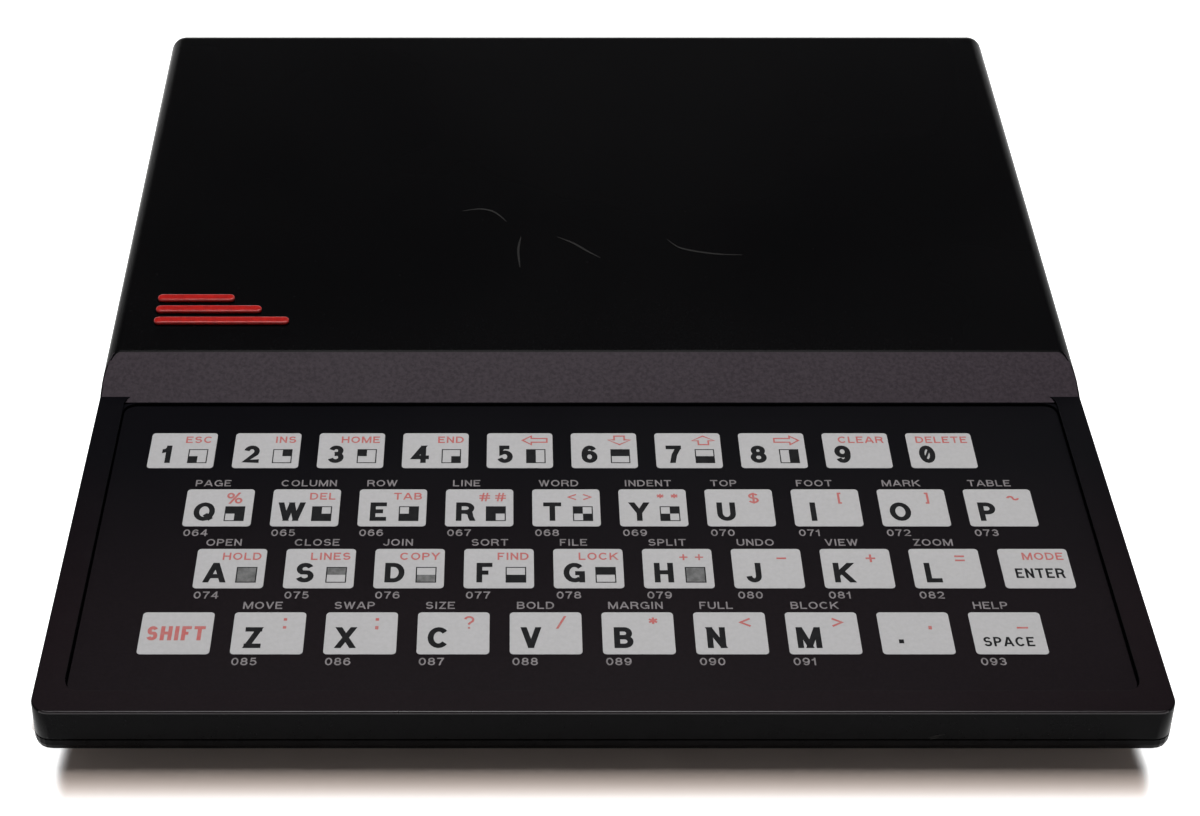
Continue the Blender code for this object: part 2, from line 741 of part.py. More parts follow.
def aerial_level():
    return SEAT_LEVEL + AERIAL_AXIS_SHARE * modulator_height()


def wall_holes():
    holes = []
    for name, y in jack_places().items():
        holes += wall_hole(f"{name}_hole", y, SEAT_LEVEL + JACK_AXIS, JACK_HOLE_RADIUS, JACK_FLARE_RADIUS)
    y = modulator_centre()[1]
    holes += wall_hole("aerial_hole", y, aerial_level(), AERIAL_HOLE_RADIUS, AERIAL_FLARE_RADIUS)
    return holes


def tongue_centre():
    return (TONGUE_CENTRE_SHARE - 0.5) * CASE_WIDTH


def edge_slot(low):
    """The opening in the rear wall round the board's contact tongue, from low up."""
    half = TONGUE_WIDTH / 2 + SLOT_SIDE_ROOM
    high = BOARD_TOP + SLOT_TOP_ROOM
    depth = WALL + CASE_HEIGHT * tan(WALL_DRAFT) + BOARD_REAR_MARGIN / 2
    return box(
        "edge_slot",
        (tongue_centre() - half, REAR - depth, low),
        (tongue_centre() + half, REAR + OVERRUN, high),
    )


def badge_bars():
    """Three plain raised bars at the front left of the deck."""
    deck_start = KEYBOARD_RUN + BAND_RUN
    deck = at(0, FRONT + deck_start, BAND_TOP) @ Matrix.Rotation(DECK_SLOPE, 4, "X")
    left = -CASE_WIDTH / 2 + BADGE_LEFT_INSET
    bars = []
    for number, length in enumerate(BADGE_BAR_LENGTHS):
        outline = rounded_outline(length, BADGE_BAR_WIDTH, BADGE_BAR_WIDTH / 2, SMALL_STEPS + 1)
        place = at(left + length / 2, BADGE_FRONT_INSET + number * BADGE_BAR_PITCH, 0)
        bars.append(prism(f"badge_bar_{number}", outline, -ROOTING, BADGE_BAR_RISE, None, deck @ place))
    return bars


def top_case(finish):
    shell = case_shell()
    bosses, pilots = case_bosses()
    posts, post_pilots = board_posts()
    join(shell, tray(), *bosses, *posts, *deck_ribs())
    cut(
        shell,
        *recess_cutters(),
        tail_slot("upper_tail_slot", UPPER_TAIL_SHARE, UPPER_TAIL_LINES),
        tail_slot("lower_tail_slot", LOWER_TAIL_SHARE, LOWER_TAIL_LINES),
        *wall_holes(),
        edge_slot(SEAM_HEIGHT - OVERRUN),
        *pilots,
        *post_pilots,
    )
    join(shell, *badge_bars())
    settle(shell)
    return add_object("top_case", shell.data, finish)


def bottom_case(finish):
    """A shallow tray: floor, rounded rim, locating lip, screw pillars, props for the board."""
    outline = rounded_outline(CASE_WIDTH, CASE_DEPTH, CORNER_RADIUS, CORNER_STEPS)
    base = prism("base_form", outline, STAND_HEIGHT, SEAM_HEIGHT)
    form = bmesh.new()
    form.from_mesh(base.data)
    round_edges(form, is_bottom_rim, BASE_FILLET, SMALL_STEPS + 1)
    form.to_mesh(base.data)
    form.free()
    inset = WALL + GAP
    lip_outline = rounded_outline(CASE_WIDTH - 2 * inset, CASE_DEPTH - 2 * inset, INNER_RADIUS, SMALL_STEPS)
    lip = prism("lip", lip_outline, STAND_HEIGHT + FLOOR_THICKNESS / 2, SEAM_HEIGHT + LIP_HEIGHT)
    inset += LIP_THICKNESS
    inner = rounded_outline(CASE_WIDTH - 2 * inset, CASE_DEPTH - 2 * inset, INNER_RADIUS, SMALL_STEPS)
    join(base, lip)
    cut(base, prism("floor_hollow", inner, FLOOR_LEVEL, CASE_HEIGHT))
    cut(base, edge_slot(SEAM_HEIGHT))
    low = STAND_HEIGHT + FLOOR_THICKNESS / 2
    seat = PILLAR_LEVEL - SEAT_THICKNESS
    pillars, bores = [], []
    for name, (x, y) in screw_places().items():
        place = at(x, y, 0)
        pillars.append(cylinder(f"pillar_{name}", PILLAR_RADIUS, low, PILLAR_LEVEL, place, BOSS_STEPS))
        below = STAND_HEIGHT - OVERRUN
        bores.append(cylinder(f"head_bore_{name}", SCREW_HEAD_RADIUS + GAP, below, seat, place))
        above = PILLAR_LEVEL + OVERRUN
        bores.append(cylinder(f"shank_bore_{name}", SCREW_RADIUS + GAP, low, above, place, SCREW_STEPS))
    for name, (x, y) in foot_places().items():
        recess_top = STAND_HEIGHT + FOOT_RECESS
        place = at(x, y, 0)
        below = STAND_HEIGHT - OVERRUN
        bores.append(cylinder(f"foot_recess_{name}", FOOT_RADIUS + GAP, below, recess_top, place, FOOT_STEPS))
    for number, shares in enumerate(PROP_SHARES, 1):
        x, y, _ = board_place(*shares)
        pillars.append(cylinder(f"prop_{number}", POST_RADIUS, low, BOARD_LEVEL - GAP, at(x, y, 0), BOSS_STEPS))
    join(base, *pillars)
    cut(base, *bores)
    settle(base)
    return add_object("bottom_case", base.data, finish)


def is_bottom_rim(edge):
    tilts = sorted(face.normal.z for face in edge.link_faces)
    return tilts[0] < -cos(radians(30)) and tilts[1] > -cos(radians(60))


def rubber_foot(name, x, y, finish):
    top = STAND_HEIGHT + FOOT_RECESS - GAP
    profile = [(0, top), (FOOT_RADIUS, top)]
    for step in range(SMALL_STEPS + 2):
        angle = step / (SMALL_STEPS + 1) * pi / 2
        drop = FOOT_FILLET * (1 - sin(angle))
        profile.append((FOOT_RADIUS - FOOT_FILLET * (1 - cos(angle)), drop))
    profile.append((0, 0))
    return turned(name, profile, finish, at(x, y, 0), FOOT_STEPS)


def screw(name, place, length, finish):
    """A pan-head self-tapping screw: its head below the place's origin, its shank above it."""
    radius, head = SCREW_RADIUS, SCREW_HEAD_RADIUS
    shoulder = 0.7 * SCREW_HEAD_HEIGHT
    profile = (
        (0, length),
        (radius / 2, length - radius / 2),
        (radius, length - 2 * radius),
        (radius, 0),
        (head, 0),
        (head, -SCREW_HEAD_HEIGHT + shoulder),
        (0.8 * head, -0.9 * SCREW_HEAD_HEIGHT),
        (0.5 * head, -SCREW_HEAD_HEIGHT),
        (0, -SCREW_HEAD_HEIGHT),
    )
    made = turned(name, profile, finish, place, SCREW_STEPS)
    slot = SCREW_SLOT_WIDTH / 2
    reach = 0.6 * head
    low, high = -SCREW_HEAD_HEIGHT - OVERRUN, -SCREW_HEAD_HEIGHT + SCREW_SLOT_DEPTH
    cut(
        made,
        box(f"{name}_slot_x", (-reach, -slot, low), (reach, slot, high), None, place),
        box(f"{name}_slot_y", (-slot, -reach, low), (slot, reach, high), None, place),
    )
    return made


def case_screws_and_feet(steel, rubber):
    seat = PILLAR_LEVEL - SEAT_THICKNESS - GAP
    for name, (x, y) in screw_places().items():
        screw(f"case_screw_{name}", at(x, y, seat), screw_length(y), steel)
    for name, (x, y) in foot_places().items():
        rubber_foot(f"foot_{name}", x, y, rubber)


def keyboard_overlay(finish):
    outline = rounded_outline(OVERLAY_WIDTH, OVERLAY_LENGTH, OVERLAY_RADIUS, CORNER_STEPS)
    place = SLOPE @ at(0, OVERLAY_FRONT + OVERLAY_LENGTH / 2, -OVERLAY_DROP)
    return prism("keyboard_overlay", outline, -OVERLAY_THICKNESS, 0, finish, place)


def key_centres():
    """Places of the keys' middles across and up the slope, row by row from the rear."""
    first_x = -OVERLAY_WIDTH / 2 + KEY_LEFT_MARGIN + KEY_WIDTH / 2
    first_run = OVERLAY_FRONT + OVERLAY_LENGTH - KEY_REAR_MARGIN - KEY_LENGTH / 2
    for row, share in enumerate(ROW_OFFSET_SHARES):
        for column in range(KEYS_IN_ROW):
            yield first_x + (column + share) * KEY_PITCH, first_run - row * ROW_PITCH


def spacer_sheet(finish):
    """A flat outline with a round hole under each key, raised by its thickness."""
    data = bpy.data.curves.new("contact_spacer", "CURVE")
    data.dimensions = "2D"
    data.fill_mode = "BOTH"
    data.extrude = SHEET_THICKNESS / 2
    inset = 2 * SHEET_INSET
    middle = OVERLAY_FRONT + OVERLAY_LENGTH / 2
    edge = rounded_outline(OVERLAY_WIDTH - inset, OVERLAY_LENGTH - inset, OVERLAY_RADIUS, SMALL_STEPS)
    loops = [[(x, y + middle) for x, y in edge]]
    corners = CONTACT_HOLE_CORNERS
    for x, run in key_centres():
        angles = [2 * pi * (corner + 0.5) / corners for corner in range(corners)]
        loops.append([(x + CONTACT_RADIUS * cos(a), run + CONTACT_RADIUS * sin(a)) for a in angles])
    for points in loops:
        spline = data.splines.new("POLY")
        spline.points.add(len(points) - 1)
        spline.use_cyclic_u = True
        for point, (x, y) in zip(spline.points, points):
            point.co = (x, y, 0, 1)
    made = add_object("contact_spacer", data, finish)
    made.matrix_world = SLOPE @ at(0, 0, -sheet_drop(1) - SHEET_THICKNESS / 2)
    return made


def bezier(points, share):
    """A point on the cubic curve through the first and last of four points."""
    rest = 1 - share
    weights = (rest**3, 3 * rest**2 * share, 3 * rest * share**2, share**3)
    return sum((weight * point for weight, point in zip(weights, points)), Vector((0, 0)))


def connector_y():
    return BOARD_FRONT + CONNECTOR_SETBACK + CONNECTOR_DEPTH / 2


def contact_sheet(name, layer, share, lines, finish):
    """A printed sheet whose tail leaves its rear edge and arches down into its connector."""
    inset = 2 * SHEET_INSET
    rear = OVERLAY_FRONT + OVERLAY_LENGTH - SHEET_INSET
    front = OVERLAY_FRONT + SHEET_INSET
    half = (OVERLAY_WIDTH - inset) / 2
    left = tail_centre(share) - tail_width(lines) / 2
    right = left + tail_width(lines)
    drop = sheet_drop(layer)
    corners = ((-half, front), (half, front), (half, rear), (right, rear), (left, rear), (-half, rear))
    form = bmesh.new()
    verts = [form.verts.new(SLOPE @ Vector((x, run, -drop))) for x, run in corners]
    form.faces.new(verts)
    start = Vector((verts[3].co.y, verts[3].co.z))
    end = Vector((connector_y(), SEAT_LEVEL + CONNECTOR_HEIGHT - CONNECTOR_SLOT_DEPTH + GAP))
    lead_out = Vector((cos(KEYBOARD_SLOPE), sin(KEYBOARD_SLOPE))) * TAIL_LEAD_OUT
    handles = (start, start + lead_out, end + Vector((0, TAIL_ARCH + CONNECTOR_SLOT_DEPTH)), end)
    near = [verts[3], verts[4]]
    for step in range(1, TAIL_STEPS + 1):
        y, z = bezier(handles, step / TAIL_STEPS)
        far = [form.verts.new((right, y, z)), form.verts.new((left, y, z))]
        form.faces.new([near[1], near[0], far[0], far[1]])
        near = far
    bmesh.ops.recalc_face_normals(form, faces=form.faces)
    if form.faces[:][0].normal.z < 0:
        bmesh.ops.reverse_faces(form, faces=form.faces)
    data = bpy.data.meshes.new(name)
    form.to_mesh(data)
    form.free()
    made = add_object(name, data, finish)
    skin = made.modifiers.new("thickness", "SOLIDIFY")
    skin.thickness = SHEET_THICKNESS
    skin.offset = -1
    return made


def tail_connector(name, share, lines, finish):
    half = tail_width(lines) / 2 + CONNECTOR_END
    x, y = tail_centre(share), connector_y()
    high = SEAT_LEVEL + CONNECTOR_HEIGHT
    made = box(
        name, (x - half, y - CONNECTOR_DEPTH / 2, SEAT_LEVEL), (x + half, y + CONNECTOR_DEPTH / 2, high), finish
    )
    bevel(made, CHIP_BEVEL, 1)
    slot_half = tail_width(lines) / 2 + GAP
    slot_width = CONNECTOR_SLOT / 2
    cut(
        made,
        box(
            f"{name}_slot",
            (x - slot_half, y - slot_width, high - CONNECTOR_SLOT_DEPTH),
            (x + slot_half, y + slot_width, high + OVERRUN),
        ),
    )
    return made


def circuit_board(finish):
    """The board's outline with its rear corners cut away round the bosses, and its contact tongue."""
    notch_x = CASE_WIDTH / 2 - FOOT_SIDE_INSET - BOSS_RADIUS - GAP
    notch_y = REAR - FOOT_REAR_INSET - BOSS_RADIUS - GAP
    left = tongue_centre() - TONGUE_WIDTH / 2
    right = left + TONGUE_WIDTH
    tip = BOARD_REAR + TONGUE_REACH
    keyway = left + KEYWAY_SHARE * TONGUE_WIDTH
    outline = (
        (-BOARD_RIGHT, BOARD_FRONT),
        (BOARD_RIGHT, BOARD_FRONT),
        (BOARD_RIGHT, notch_y),
        (notch_x, notch_y),
        (notch_x, BOARD_REAR),
        (right, BOARD_REAR),
        (right, tip),
        (keyway + KEYWAY_WIDTH, tip),
        (keyway + KEYWAY_WIDTH, tip - KEYWAY_DEPTH),
        (keyway, tip - KEYWAY_DEPTH),
        (keyway, tip),
        (left, tip),
        (left, BOARD_REAR),
        (-notch_x, BOARD_REAR),
        (-notch_x, notch_y),
        (-BOARD_RIGHT, notch_y),
    )
    made = prism("board_form", outline, BOARD_LEVEL, BOARD_TOP)
    holes = []
    for number, shares in enumerate(BOARD_POST_SHARES, 1):
        x, y, _ = board_place(*shares)
        holes.append((f"board_hole_{number}", x, y))
    holes.append(("regulator_board_hole", *regulator_screw_place()))
    join(made, *resistors())
    for name, x, y in holes:
        low, high = BOARD_LEVEL - OVERRUN, BOARD_TOP + OVERRUN
        cut(made, cylinder(name, SCREW_RADIUS + GAP, low, high, at(x, y, 0), SCREW_STEPS))
    settle(made)
    return add_object("circuit_board", made.data, finish)


def resistors():
    """A row of small resistors, each a round body on a wire that is soldered into the board."""
    made = []
    start = board_place(*RESISTOR_START_SHARES, BOARD_TOP)
    half, rise = RESISTOR_SPAN / 2, RESISTOR_RISE + WIRE / 2
    inner, under = half - WIRE, rise - WIRE
    staple = (
        (-half, -ROOTING),
        (-inner, -ROOTING),
        (-inner, under),
        (inner, under),
        (inner, -ROOTING),
        (half, -ROOTING),
        (half, rise),
        (-half, rise),
    )
    for number in range(RESISTOR_COUNT):
        x = start.x + number * RESISTOR_PITCH
        outline = [(start.y + along, start.z + level) for along, level in staple]
        made.append(side_prism(f"resistor_wire_{number}", outline, x - WIRE / 2, x + WIRE / 2))
        body = at(x, start.y, start.z + RESISTOR_RISE) @ ALONG_Y
        length = RESISTOR_LENGTH / 2
        made.append(cylinder(f"resistor_body_{number}", RESISTOR_RADIUS, -length, length, body, 8))
    return made


def chip(name, pins, row, x, y, seat, finish):
    """A dual in-line chip: bevelled body, end notch, and leads that come out sideways and turn down."""
    side_pins = pins // 2
    half_length = side_pins * CHIP_PITCH / 2 + CHIP_END_MARGIN / 2
    half_width = row / 2 - 2 * LEAD_THICKNESS
    low = seat + CHIP_STANDOFF
    high = low + CHIP_BODY_HEIGHT
    body = box(
        f"{name}_body", (x - half_length, y - half_width, low), (x + half_length, y + half_width, high)
    )
    settle(bevel(body, CHIP_BEVEL, 1))
    middle = (low + high) / 2
    leads = bmesh.new()
    bend = LEAD_THICKNESS
    outer = row / 2 + bend / 2
    hook = (
        (half_width - ROOTING, middle),
        (outer, middle),
        (outer, seat),
        (outer - bend, seat),
        (outer - bend, middle - bend),
        (half_width - ROOTING, middle - bend),
    )
    for side in (-1, 1):
        for number in range(side_pins):
            centre = x + (number - (side_pins - 1) / 2) * CHIP_PITCH
            outline = [(centre - LEAD_WIDTH / 2, y + side * away, level) for away, level in hook]
            face = leads.faces.new([leads.verts.new(point) for point in outline])
            raised = bmesh.ops.extrude_face_region(leads, geom=[face])["geom"]
            far = [part for part in raised if isinstance(part, bmesh.types.BMVert)]
            bmesh.ops.translate(leads, vec=(LEAD_WIDTH, 0, 0), verts=far)
    join(body, add_mesh(f"{name}_leads", leads))
    notch_place = at(x - half_length, y, 0)
    notch = cylinder(f"{name}_notch", CHIP_NOTCH_RADIUS, high - CHIP_NOTCH_DEPTH, high + OVERRUN, notch_place, 12)
    settle(cut(body, notch))
    return add_object(name, body.data, finish)


def chip_socket(name, pins, row, x, y, finish):
    """An open frame: two rails under the leads, two ends and a middle bar."""
    half_length = chip_length(pins) / 2
    half_width = row / 2 + SOCKET_RAIL / 2
    high = SEAT_LEVEL + SOCKET_HEIGHT
    made = box(name, (x - half_length, y - half_width, SEAT_LEVEL), (x + half_length, y + half_width, high), finish)
    bar = SOCKET_RAIL / 2
    window_y = row / 2 - SOCKET_RAIL / 2
    for side in (-1, 1):
        reach = sorted((side * bar, side * (half_length - 2 * bar)))
        low = (x + reach[0], y - window_y, SEAT_LEVEL - OVERRUN)
        cut(made, box(f"{name}_window_{side}", low, (x + reach[1], y + window_y, high + OVERRUN)))
    return made


def board_y(share):
    return BOARD_FRONT + share * BOARD_LENGTH


def chips(finish, socket_finish):
    logic_x, rom_x = rear_row()
    rear_y = board_y(REAR_CHIP_SHARE)
    chip_socket("logic_chip_socket", LOGIC_PINS, WIDE_ROW, logic_x, rear_y, socket_finish)
    chip_socket("rom_chip_socket", ROM_PINS, WIDE_ROW, rom_x, rear_y, socket_finish)
    raised = SEAT_LEVEL + SOCKET_HEIGHT + GAP
    chip("logic_chip", LOGIC_PINS, WIDE_ROW, logic_x, rear_y, raised, finish)
    chip("rom_chip", ROM_PINS, WIDE_ROW, rom_x, rear_y, raised, finish)
    chip("processor_chip", PROCESSOR_PINS, WIDE_ROW, logic_x, board_y(PROCESSOR_SHARE), SEAT_LEVEL, finish)
    for number, share in enumerate(RAM_LENGTH_SHARES, 1):
        chip(f"ram_chip_{number}", RAM_PINS, NARROW_ROW, rom_x, board_y(share), SEAT_LEVEL, finish)


def jack(name, y, finish):
    """A 3.5 mm jack: a block on the board with a round nose behind the case's hole."""
    axis = SEAT_LEVEL + JACK_AXIS
    lean = (axis - SEAM_HEIGHT) * tan(WALL_DRAFT)
    nose_tip = -CASE_WIDTH / 2 + WALL + lean + GAP
    left = -BOARD_RIGHT + GAP
    made = box(
        name,
        (left, y - JACK_WIDTH / 2, SEAT_LEVEL),
        (left + JACK_LENGTH, y + JACK_WIDTH / 2, SEAT_LEVEL + JACK_HEIGHT),
        finish,
    )
    bevel(made, JACK_BEVEL, SMALL_STEPS)
    line = at(nose_tip, y, axis) @ ALONG_X
    join(made, cylinder(f"{name}_nose", JACK_NOSE_RADIUS, 0, left - nose_tip + JACK_BEVEL + ROOTING, line))
    cut(made, cylinder(f"{name}_bore", JACK_BORE_RADIUS, -OVERRUN, JACK_BORE_DEPTH, line))
    return made


def modulator(tin, insulation):
    """A tinplate can with a lid, and the aerial socket on its left wall."""
    x, y = modulator_centre()
    half = Vector((MODULATOR_WIDTH / 2, MODULATOR_LENGTH / 2, 0))
    foot = Vector((x, y, SEAT_LEVEL))
    rim = Vector((x, y, SEAT_LEVEL + modulator_height()))
    can = box("modulator_can", foot - half, rim + half, tin)
    inside = half - Vector((TINPLATE, TINPLATE, 0))
    cut(can, box("can_space", foot - inside + Vector((0, 0, TINPLATE)), rim + inside + Vector((0, 0, OVERRUN))))
    outside = half + Vector((GAP + TINPLATE, GAP + TINPLATE, 0))
    under = half + Vector((GAP, GAP, 0))
    lid_top = rim + Vector((0, 0, GAP + TINPLATE))
    skirt = rim - Vector((0, 0, LID_SKIRT))
    lid = box("modulator_lid", skirt - outside, lid_top + outside, tin)
    over = Vector((0, 0, OVERRUN))
    cut(lid, box("lid_space", skirt - under - over, rim + under + Vector((0, 0, GAP))))
    cut(lid, cylinder("tuning_hole", TUNING_HOLE_RADIUS, rim.z, lid_top.z + OVERRUN, at(x, y, 0), SCREW_STEPS))
    outward = at(x - half.x - GAP, y, aerial_level()) @ ALONG_X.inverted()
    inner = AERIAL_RADIUS - AERIAL_WALL
    tube = (
        (inner, 0),
        (inner, AERIAL_REACH - GAP),
        (AERIAL_RADIUS, AERIAL_REACH - GAP),
        (AERIAL_RADIUS, AERIAL_FLANGE),
        (AERIAL_FLANGE_RADIUS, AERIAL_FLANGE),
        (AERIAL_FLANGE_RADIUS, 0),
    )
    turned("aerial_socket_shell", tube, tin, outward, HOLE_STEPS, closed=True)
    plug = inner - GAP
    face = AERIAL_PIN_DEPTH + AERIAL_FLANGE
    core = (
        (0, face - AERIAL_PIN_DEPTH),
        (AERIAL_PIN_RADIUS, face - AERIAL_PIN_DEPTH),
        (AERIAL_PIN_RADIUS, face),
        (plug, face),
        (plug, 0),
        (0, 0),
    )
    turned("aerial_socket_insulator", core, insulation, outward, HOLE_STEPS)


def heatsink_centre():
    return BOARD_RIGHT - HEATSINK_SIDE_INSET - HEATSINK_WIDTH / 2


def regulator_centre():
    return (REGULATOR_SHARE - 0.5) * BOARD_WIDTH


def regulator_screw_place():
    """Middle of the screw through the regulator's tab, the heatsink and the board."""
    return regulator_centre(), BOARD_FRONT + REGULATOR_HOLE_SETBACK + HEATSINK_THICKNESS


def heatsink(finish):
    """A bent plate: a wide shelf under the keyboard, a riser at the board's edge, a narrow shelf on the board."""
    shelf, top = HEATSINK_WIDTH / 2, HEATSINK_TOP_WIDTH / 2
    x, x_top = heatsink_centre(), regulator_centre()
    rear = BOARD_FRONT - GAP
    front = BOARD_FRONT - HEATSINK_LENGTH
    low = HEATSINK_LEVEL + HEATSINK_THICKNESS
    high = SEAT_LEVEL + HEATSINK_THICKNESS
    end = BOARD_FRONT + HEATSINK_TOP_LENGTH
    form = bmesh.new()
    lower = [
        (x - shelf, front, low),
        (x + shelf, front, low),
        (x + shelf, rear - HEATSINK_THICKNESS, low),
        (x_top + top, rear - HEATSINK_THICKNESS, low),
        (x_top - top, rear - HEATSINK_THICKNESS, low),
        (x - shelf, rear - HEATSINK_THICKNESS, low),
    ]
    verts = [form.verts.new(point) for point in lower]
    form.faces.new(verts)
    near = (verts[3], verts[4])
    for y, z in ((rear - HEATSINK_THICKNESS, high), (end, high)):
        far = (form.verts.new((x_top + top, y, z)), form.verts.new((x_top - top, y, z)))
        form.faces.new((near[1], near[0], far[0], far[1]))
        near = far
    data = bpy.data.meshes.new("heatsink")
    form.to_mesh(data)
    form.free()
    made = add_object("heatsink", data, finish)
    plate = made.modifiers.new("thickness", "SOLIDIFY")
    plate.thickness = HEATSINK_THICKNESS
    plate.offset = -1
    plate.use_even_offset = True
    hole_x, hole_y = regulator_screw_place()
    place = at(hole_x, hole_y, 0)
    low, high = BOARD_TOP, high + OVERRUN
    return cut(made, cylinder("heatsink_hole", SCREW_RADIUS + GAP, low, high, place, SCREW_STEPS))


def regulator(body_finish, steel):
    """A three-lead regulator lying on the heatsink, its tab held by a screw and a nut under the board."""
    x, hole_y = regulator_screw_place()
    low = SEAT_LEVEL + HEATSINK_THICKNESS + GAP
    tab_front = hole_y - REGULATOR_HOLE_SETBACK + GAP
    body_front = tab_front + REGULATOR_TAB_LENGTH
    body_rear = body_front + REGULATOR_LENGTH
    half = REGULATOR_WIDTH / 2
    tab = box("voltage_regulator", (x - half, tab_front, low), (x + half, body_rear, low + REGULATOR_TAB), body_finish)
    body_high = low + REGULATOR_HEIGHT
    body = box("regulator_body", (x - half, body_front, low), (x + half, body_rear, body_high))
    settle(bevel(body, CHIP_BEVEL, 1))
    join(tab, body)
    middle = low + REGULATOR_HEIGHT / 2
    reach = max(BOARD_FRONT + HEATSINK_TOP_LENGTH, body_rear) + REGULATOR_LEAD_REACH
    bend = REGULATOR_LEAD_WIDTH / 2
    hook = (
        (body_rear - ROOTING, middle),
        (body_rear - ROOTING, middle - bend),
        (reach - bend, middle - bend),
        (reach - bend, SEAT_LEVEL),
        (reach, SEAT_LEVEL),
        (reach, middle),
    )
    for number in (-1, 0, 1):
        centre = x + number * CHIP_PITCH
        left, right = centre - REGULATOR_LEAD_WIDTH / 2, centre + REGULATOR_LEAD_WIDTH / 2
        join(tab, side_prism(f"regulator_lead_{number}", hook, left, right))
    place = at(x, hole_y, 0)
    bore = cylinder("tab_hole", SCREW_RADIUS + GAP, low - OVERRUN, low + REGULATOR_TAB + OVERRUN, place, SCREW_STEPS)
    cut(tab, bore)
    head_level = low + REGULATOR_TAB + GAP
    nut_top = BOARD_LEVEL - GAP
    length = head_level - nut_top + NUT_HEIGHT
    screw("regulator_screw", at(x, hole_y, head_level) @ Matrix.Rotation(pi, 4, "X"), length, steel)
    nut = cylinder("regulator_nut", NUT_RADIUS, nut_top - NUT_HEIGHT, nut_top, place, 6, steel)
    bore_low, bore_high = nut_top - NUT_HEIGHT - OVERRUN, nut_top + OVERRUN
    cut(nut, cylinder("nut_bore", SCREW_RADIUS + GAP, bore_low, bore_high, place, SCREW_STEPS))


def capacitor(name, radius, length, place, finish):
    """A round can with the groove that its rubber seal is crimped by."""
    groove, back = CAPACITOR_GROOVE, CAPACITOR_GROOVE_SETBACK
    profile = (
        (0, length),
        (radius - groove, length),
        (radius, length - groove),
        (radius, back + groove),
        (radius - groove, back),
        (radius, back - groove),
        (radius, 0),
        (0, 0),
    )
    return turned(name, profile, finish, place, HOLE_STEPS)


def capacitors(finish):
    x, y, level = board_place(*LARGE_CAPACITOR_SHARES)
    lying = at(x - LARGE_CAPACITOR_LENGTH / 2, y, level + LARGE_CAPACITOR_RADIUS) @ ALONG_X
    capacitor("smoothing_capacitor", LARGE_CAPACITOR_RADIUS, LARGE_CAPACITOR_LENGTH, lying, finish)
    standing = Matrix.Translation(board_place(*SMALL_CAPACITOR_SHARES))
    capacitor("small_capacitor", SMALL_CAPACITOR_RADIUS, SMALL_CAPACITOR_HEIGHT, standing, finish)


def resonator(finish):
    place = Vector((rear_row()[1] - RESONATOR_OFFSET, board_y(RESONATOR_LENGTH_SHARE), SEAT_LEVEL))
    width, depth, height = RESONATOR_SIZE
    half = Vector((width / 2, depth / 2, 0))
    made = box("ceramic_resonator", place - half, place + half + Vector((0, 0, height)), finish)
    return bevel(made, RESONATOR_BEVEL, SMALL_STEPS)


def transistor(number, finish):
    """A small round transistor with one flat side, one of a pair in front of the modulator."""
    name = f"video_transistor_{number + 1}"
    centre_x, centre_y = modulator_centre()
    x = centre_x + (number + 0.5) * TRANSISTOR_PITCH
    y = centre_y - MODULATOR_LENGTH / 2 - GAP - TINPLATE - TRANSISTOR_CLEARANCE - TRANSISTOR_RADIUS
    level = SEAT_LEVEL
    body = cylinder(name, TRANSISTOR_RADIUS, level, level + TRANSISTOR_HEIGHT, at(x, y, 0), HOLE_STEPS, finish)
    reach = TRANSISTOR_RADIUS + OVERRUN
    low = (x - reach, y - reach, level - OVERRUN)
    high = (x + reach, y - TRANSISTOR_FLAT, level + TRANSISTOR_HEIGHT + OVERRUN)
    return cut(body, box(f"{name}_flat", low, high))


def board_screws(steel):
    for number, shares in enumerate(BOARD_POST_SHARES, 1):
        x, y, _ = board_place(*shares)
        screw(f"board_screw_{number}", at(x, y, BOARD_LEVEL - GAP), BOARD_SCREW, steel)


def build():
    start_scene()
    case_plastic = material("case_plastic", (0.006, 0.006, 0.007), 0.45)
    printed = material("overlay_print", (0.012, 0.010, 0.012), 0.5)
    polyester = material("polyester", (0.55, 0.56, 0.52), 0.3)
    green = material("board_laminate", (0.05, 0.16, 0.06), 0.4)
    black = material("chip_plastic", (0.02, 0.02, 0.022), 0.5)
    grey = material("socket_plastic", (0.06, 0.06, 0.065), 0.5)
    white = material("connector_plastic", (0.7, 0.68, 0.6), 0.4)
    tin = material("tinplate", (0.62, 0.62, 0.6), 0.3, 1.0)
    aluminium = material("aluminium", (0.75, 0.76, 0.77), 0.35, 1.0)
    steel = material("screw_steel", (0.32, 0.31, 0.3), 0.35, 1.0)
    rubber = material("foot_rubber", (0.02, 0.02, 0.02), 0.8)
    blue = material("capacitor_sleeve", (0.03, 0.07, 0.25), 0.4)
    orange = material("resonator_ceramic", (0.75, 0.28, 0.04), 0.35)
    top_case(case_plastic)
    bottom_case(case_plastic)
    case_screws_and_feet(steel, rubber)
    keyboard_overlay(printed)
    contact_sheet("contact_sheet_upper", 0, UPPER_TAIL_SHARE, UPPER_TAIL_LINES, polyester)
    spacer_sheet(polyester)
    contact_sheet("contact_sheet_lower", 2, LOWER_TAIL_SHARE, LOWER_TAIL_LINES, polyester)
    tail_connector("tail_connector_upper", UPPER_TAIL_SHARE, UPPER_TAIL_LINES, white)
    tail_connector("tail_connector_lower", LOWER_TAIL_SHARE, LOWER_TAIL_LINES, white)
    circuit_board(green)
    chips(black, grey)
    for name, y in jack_places().items():
        jack(name, y, black)
    modulator(tin, white)
    heatsink(aluminium)
    regulator(black, steel)
    capacitors(blue)
    resonator(orange)
    for number in range(TRANSISTOR_COUNT):
        transistor(number, black)
    board_screws(steel)


build()
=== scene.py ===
import json
from math import atan2, cos, hypot, pi, radians, sin, tan

import bmesh
import bpy
from mathutils import Matrix, Vector


